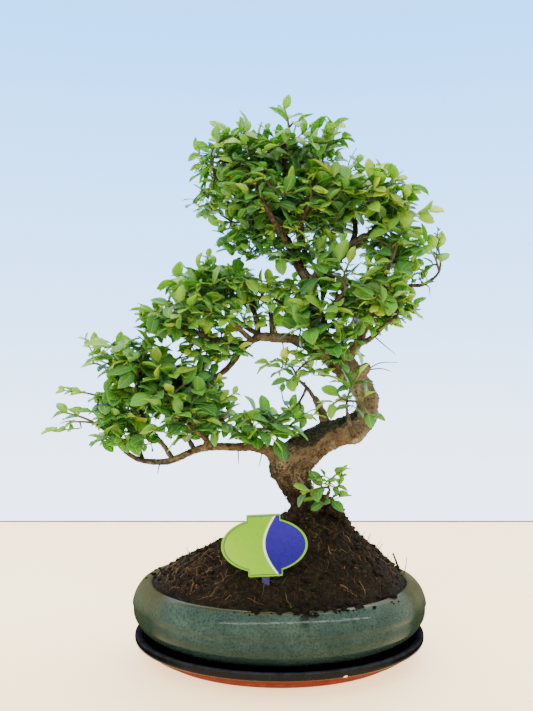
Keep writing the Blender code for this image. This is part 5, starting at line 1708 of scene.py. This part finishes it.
def fibre_line(rng, spot, matted):
    """A curly line over the mound from a point, or one that stands out of it, most often at the right."""
    heading = rng.uniform(0, math.tau)
    curl = rng.choice(FIBRE_CURLS)
    thick = rng.uniform(*FIBRE_THICK[0 if rng.random() < 0.92 else 1])
    length = rng.uniform(*FIBRE_LENGTHS[0 if rng.random() < (0.25 if matted else 0.6) else 1])
    standing = rng.random() < (0.05 if spot.x < 50 else 0.42)
    if standing:
        length = rng.uniform(*STANDING_LENGTH)
        thick = rng.uniform(*STANDING_THICK)
    line = []
    way = Vector((math.cos(heading), math.sin(heading), rng.uniform(0.8, 2.6) if standing else 0))
    for i in range(FIBRE_STEPS + 1):
        line.append((spot.copy(), thick * (1 - 0.5 * i / FIBRE_STEPS)))
        heading += rng.uniform(-curl, curl)
        if standing:
            way += Vector((rng.uniform(-0.5, 0.5), rng.uniform(-0.4, 0.4), -0.1))
            spot += way.normalized() * length / FIBRE_STEPS
        else:
            spot += Vector((math.cos(heading), math.sin(heading), 0)) * length / FIBRE_STEPS
            if (oval_radius(spot) / FIBRES_REACH) ** 2 > 0.97:
                break
            height, share = mound(spot.x, spot.y)
            spot.z = height + clods(spot, share) + 0.3
    return line


def fibres(material):
    """Root fibres on the peat, matted at the left rim, and broken twigs that stand in it."""
    rng = random.Random(SEED + 80)
    soup = Soup()
    for _ in range(FIBRES):
        spot, share = random_spot(rng, 0.93)
        matted = spot.x < -40 and spot.y < 5 and share > 0.6
        if not matted and (rng.random() < 0.4 or noise.noise(spot * 0.035) < -0.12 and rng.random() < 0.7):
            continue
        line = fibre_line(rng, spot, matted)
        if len(line) > 2:
            soup.rod(line, 4, (rng.random() ** (0.7 if matted else 1.5), 0, 0, 0))
    for foot, tip, thick, tone in BROKEN_TWIGS:
        foot, tip = Vector(foot), Vector(tip)
        bend = (foot + tip) / 2 + Vector((1.5, 0, 0))
        line = smooth_path([(foot, thick), (bend, thick * 0.9), (tip, thick * 0.6)], 3)
        soup.rod(line, 6, (tone, 0, 0, 0))
    return soup.make("fibres", [material])


# Pot, saucer and label

LATHE_STEPS = 144
CHIP_PLACE = (0.05, -0.0914, 0.0158)
CLAY_BULGE = ((125.6, 15.1), (118, 9.7), (108.5, 4.5))
GLAZE_LEAN = 2.03  # how the saucer's wall leans out, in radius for each mm of height
CORNER = 1.3  # radius of the label's corners
STAKE_TIP = 16  # length of its point
STAKE_NARROW = 0.75


def lathe(outline, low, high):
    """(points, faces) of an oval shell from (radius, height) points, closed on the axis."""
    points = [Vector((0, 0, low))]
    for radius, height in outline:
        points += oval(radius, height, LATHE_STEPS)
    return points + [Vector((0, 0, high))], shell_faces(len(outline), LATHE_STEPS)


def rounded(outline, step):
    """A smooth line through (radius, height) points."""
    return [(spot.x, spot.z) for spot, _ in smooth_path([(r, 0, z, 1) for r, z in outline], step)]


def boxed(middle, size, bevel):
    """(points, faces) of a box with rounded edges."""
    bm = bmesh.new()
    bmesh.ops.create_cube(bm, size=1)
    bmesh.ops.scale(bm, vec=size, verts=bm.verts[:])
    bmesh.ops.bevel(bm, geom=bm.edges[:], offset=bevel, segments=3, affect="EDGES", profile=0.5)
    bmesh.ops.translate(bm, verts=bm.verts[:], vec=middle)
    return taken(bm)


def bore(obj, x, height):
    """Cuts a drain hole."""
    bm = bmesh.new()
    size = {"radius1": DRAIN_RADIUS, "radius2": DRAIN_RADIUS, "depth": 20 * MM}
    bmesh.ops.create_cone(bm, cap_ends=True, segments=40, **size)
    bmesh.ops.translate(bm, verts=bm.verts[:], vec=(x, 0, height))
    mesh = bpy.data.meshes.new("hole")
    bm.to_mesh(mesh)
    bm.free()
    cutter = add_object("hole", mesh)
    cut = obj.modifiers.new("hole", "BOOLEAN")
    cut.operation = "DIFFERENCE"
    cut.object = cutter
    apply_modifiers(obj)
    bpy.data.objects.remove(cutter)


def pot_tint(spot):
    """(thin glaze, end of the pot for olive with painted shade and a painted sheen, foot, crease under the rim
    for a line of painted shade) at a point of the pot.
    """
    side = abs(math.cos(math.atan2(spot.y / OVAL_DEPTH, spot.x)))
    rim = max(0.0, 1 - abs(spot.z - 65.9) / 1.3)
    rim = max(rim, max(0.0, 1 - abs(spot.z - 63) / 5) * max(0.0, side - 0.7) * 2.6)
    # the crease, where a line of painted shade goes
    crease = max(0.0, 1 - abs(spot.z - 48.3) / 2.4) * (oval_radius(spot) > 126)
    # the ends, and the inside, get the darker olive with painted shade and the painted sheen
    ends = max(0.0, side - 0.72) * 3.4 * max(0.75, min(1.0, (68 - spot.z) / 22))
    if oval_radius(spot) < 114:
        ends = 1.0
    ends = clamp(ends + 0.25 * noise.noise(spot * 0.03))
    return rim * 0.85, ends, 1.0 if spot.z < 14 else 0.0, crease


def pot_piece(material):
    """The pot with its four feet and its two drain holes."""
    outline = [(60, POT_FLOOR)] + rounded(POT_INSIDE, 2.5)
    outline += rounded([POT_INSIDE[-1], *POT_RIM, *POT_SHOULDER, (130.1, 48.6)], 1.2)[1:]
    outline += rounded([(129.3, 47.4), *POT_WALL[1:]], 1.8)
    outline += [(84, POT_BASE), (60, POT_BASE)]
    points, faces = lathe(outline, POT_FLOOR, POT_BASE)
    soup = Soup()
    soup.add(points, faces, [pot_tint(spot) for spot in points])
    for x in (-1, 1):
        for y in (-1, 1):
            middle = Vector((FOOT_PLACE.x * x, FOOT_PLACE.y * y, SAUCER_FLOOR * MM + GAP + FOOT_SIZE.z / 2))
            soup.add(*boxed(middle / MM, FOOT_SIZE / MM, 1.2), (0.2, 0.5, 0.9, 0))
    pot = soup.make("pot_glazed", [material])
    for side in (-1, 1):
        bore(pot, DRAIN_PLACE * side, POT_BASE * MM)
    return pot


def saucer_tint(spot):
    """(thin glaze, bare clay, end of the saucer) at a point of it."""
    radius = oval_radius(spot)
    outside = radius - 97 > (spot.z - 2.6) * GLAZE_LEAN
    bare = (outside and spot.z < 15.3) or spot.z < 0.5
    rim = max(0.0, 1 - abs(spot.z - 21.8) / 1.4)
    ends = clamp((abs(spot.x) / radius - 0.45) * 3) if radius > 1 and not outside else 0.0
    return rim, 1.0 if bare else 0.0, ends, 0


def saucer_piece(material):
    """The saucer, whose clay wall bulges out under the glazed flange."""
    outline = [(60, SAUCER_FLOOR)] + rounded(SAUCER_INSIDE, 2.0)
    outline += rounded([SAUCER_INSIDE[-1], *SAUCER_RIM, *SAUCER_OUTSIDE[:2]], 0.9)[1:]
    outline += [*CLAY_BULGE, *SAUCER_OUTSIDE[2:], (60, 0)]
    points, faces = lathe(outline, SAUCER_FLOOR, 0)
    soup = Soup()
    soup.add(points, faces, [saucer_tint(spot) for spot in points])
    return soup.make("saucer_glazed", [material])


def label_outline():
    """The plate's outline: an oval crossed by a taller, narrower box with round corners."""
    half_x, half_y = LABEL_HALF / MM
    tab_x, tab_y = LABEL_TAB_HALF / MM
    start = math.atan2(math.sqrt(1 - (tab_x / half_x) ** 2), tab_x / half_x)
    angles = [start * i / 17 for i in range(18)]
    quarter = [(half_x * math.cos(a), half_y * math.sin(a)) for a in angles]
    angles = [math.pi / 2 * i / 6 for i in range(7)]
    quarter += [(tab_x + CORNER * (math.cos(a) - 1), tab_y + CORNER * (math.sin(a) - 1)) for a in angles]
    outline = quarter + [(-x, y) for x, y in reversed(quarter)]
    return outline + [(-x, -y) for x, y in outline][1:-1]


def label_piece(material):
    """The plate in rings round its middle, so that its border can be told from its field."""
    outline = label_outline()
    half = LABEL_THICKNESS / MM / 2
    rings = ((0.9, half, 1), (0.93, half, 0.1), (0.99, half, 0), (1, half - 0.2, 0))
    rings += tuple((size, -height, 0) for size, height, _ in reversed(rings))
    flat = [Vector((0, 0, half))]
    inner = [1.0]
    for size, height, depth in rings:
        flat += [Vector((x * size, y * size, height)) for x, y in outline]
        inner += [depth] * len(outline)
    flat.append(Vector((0, 0, -half)))
    inner.append(0.0)
    tints = [(spot.x / 70 + 0.5, spot.y / 49 + 0.5, depth, 0) for spot, depth in zip(flat, inner)]
    soup = Soup()
    soup.add(on_label(flat), shell_faces(len(rings), len(outline), flip=True), tints)
    return soup.make("label_face", [material], smooth=False)


def on_label(points):
    """Points of the label's own frame, where Z faces the front, in the object's frame."""
    turn = Matrix.Rotation(LABEL_TURN, 4, "Y") @ Matrix.Rotation(math.radians(90) - LABEL_LEAN, 4, "X")
    place = Matrix.Translation(LABEL_PLACE) @ turn
    return [place @ (spot * MM) / MM for spot in points]


def stake_piece(material):
    """The flat stick behind the plate, narrowed to a tip at its foot."""
    middle = Vector((0, (STAKE_TOP + STAKE_FOOT) / 2, -LABEL_THICKNESS / 2 - GAP - STAKE_THICKNESS / 2))
    size = Vector((2 * STAKE_HALF_WIDTH, STAKE_TOP - STAKE_FOOT, STAKE_THICKNESS))
    points, faces = boxed(middle / MM, size / MM, 0.4)
    for spot in points:
        spot.x *= 1 - STAKE_NARROW * max(0.0, (STAKE_FOOT / MM + STAKE_TIP - spot.y) / STAKE_TIP)
    soup = Soup()
    soup.add(on_label(points), faces, (0, 0, 0, 0))
    return soup.make("stake", [material], smooth=False)


# Setting: floor, light and camera

TABLE_BACK = 0.511
TABLE_FRONT = -0.75
TABLE_HALF = 1.2
TABLE_EDGE = 0.0019  # height of the strip along its back
CAMERA_PLACE = Vector((-0.0113, -0.659, 0.265))
SENSOR = 36
CAMERA_LENS = 735 / 711 * SENSOR  # the focal length and the picture's height are in pixels


def make_flat(name, back, front, material, down=0.0):
    """A flat piece of the stage, between two edges given as (y, height)."""
    corners = [(-TABLE_HALF, *front), (TABLE_HALF, *front), (TABLE_HALF, *back), (-TABLE_HALF, *back)]
    mesh = bpy.data.meshes.new(name)
    mesh.from_pydata(corners, [], [(0, 1, 2, 3)])
    mesh.materials.append(material)
    obj = add_object(name, mesh)
    obj.location.z = -down


def make_floor():
    s = Shade("floor", Roughness=0.6, Emission_Color=rgb(255, 219, 164), Emission_Strength=2.0)
    pale = s.done(s.mix(s.patches(0.3, 0.7, 0.0, 1.0, 3, 3), rgb(255, 224, 172), rgb(255, 232, 188)))
    make_flat("floor", (TABLE_BACK, 0), (TABLE_FRONT, 0), pale, 0.0002)
    s = Shade("table_edge", Roughness=0.8)
    dark = s.done(s.mix(s.patches(0.35, 0.65, 0.0, 1.0, 20, 3), rgb(54, 40, 32), rgb(96, 74, 58)))
    make_flat("table_edge", (TABLE_BACK, TABLE_EDGE), (TABLE_BACK, 0), dark)


def make_light(name, place, aim, size, power, colour, mirrored=False):
    light = bpy.data.lights.new(name, "AREA")
    light.shape = "RECTANGLE"
    light.size, light.size_y = size
    light.energy = power
    light.color = colour
    obj = add_object(name, light)
    obj.location = place
    obj.rotation_euler = (Vector(aim) - Vector(place)).to_track_quat("-Z", "Y").to_euler()
    obj.visible_glossy = mirrored


def make_world():
    """Pale grey in front and a blue-grey wall behind that goes by height, brighter towards the back."""
    world = bpy.data.worlds.new("studio")
    bpy.context.scene.world = world
    world.use_nodes = True
    s = Nodes(world.node_tree)
    background = s.tree.nodes["Background"]
    place = s.node("TexCoord").outputs["Generated"]
    _, back, up = s.node("SeparateXYZ", {0: place}).outputs
    sky = s.ramp(
        s.span(up, -0.2, 0.8, form="LINEAR"),
        (0.05, 214, 230, 250), (0.26, 160, 206, 255), (0.6, 92, 174, 255), (0.8, 150, 158, 164),
    )
    colour = s.mix(s.span(back, 0.45, 0.85), rgb(222, 226, 226), sky)
    s.tree.links.new(colour, background.inputs["Color"])
    s.tree.links.new(s.span(back, -0.4, 0.7, 1.1, 4.9), background.inputs["Strength"])


def make_camera():
    camera = bpy.data.cameras.new("camera")
    camera.sensor_fit = "VERTICAL"
    camera.sensor_height = SENSOR
    camera.lens = CAMERA_LENS
    camera.clip_start = 0.01
    obj = add_object("camera", camera)
    obj.location = CAMERA_PLACE
    obj.rotation_euler = (math.radians(90), 0, 0)
    bpy.context.scene.camera = obj


def dress(piece, slot, *nodes):
    """Lets a piece ride on the object and take the place of its nodes, if it has any."""
    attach(piece, "root")
    if nodes:
        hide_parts(*nodes)


def build():
    routes, spurs, sprays = plan_tree()
    shoot = shoot_material()
    bark = bark_material()
    foliage(sprays, routes, spurs, [leaf_material(), shoot])
    paths = wood_paths()
    trunk = thick_wood(paths, bark)
    dress(trunk, "bark", "wood")
    dress(thin_wood(paths, spurs, [bark]), "bark")
    spots = [spot for name, path in paths if name not in ROOTS for spot, _ in path]
    dress(bare_twigs(shoot, spots), "bark")
    dress(soil_piece(soil_material()), "soil", "soil")
    dress(crumbs(crumb_material(), trunk), "soil")
    dress(fibres(fibre_material()), "soil")
    dress(pot_piece(celadon_material()), "celadon_glaze", "pot")
    dress(saucer_piece(saucer_material()), "dark_glaze", "saucer")
    dress(label_piece(label_material()), "label_plastic", "label_plate")
    violet = plastic_material("stake_plastic", rgb(22, 16, 92), 0.35)
    dress(stake_piece(violet), "stake_plastic", "label_stake")
    screen = plastic_material("screen_plastic", rgb(24, 24, 24), 0.6)
    for name in ("drain_screen_left", "drain_screen_right"):
        materials = frame["nodes"][name].data.materials
        materials.clear()
        materials.append(screen)
    make_floor()
    make_light("key", (-0.8, -1.1, 1.5), (0, 0, 0.2), (1.3, 1.0), 18, (1.0, 0.97, 0.92))
    make_light("strip", (0.35, -1.7, 1.25), (0, 0, 0.1), (4.4, 0.07), 26, (0.96, 0.98, 1.0), mirrored=True)
    make_light("top", (0.1, 0.5, 1.6), (0, 0, 0.3), (1.2, 1.2), 20, (1.0, 0.98, 0.93), mirrored=True)
    make_world()
    make_camera()


build()
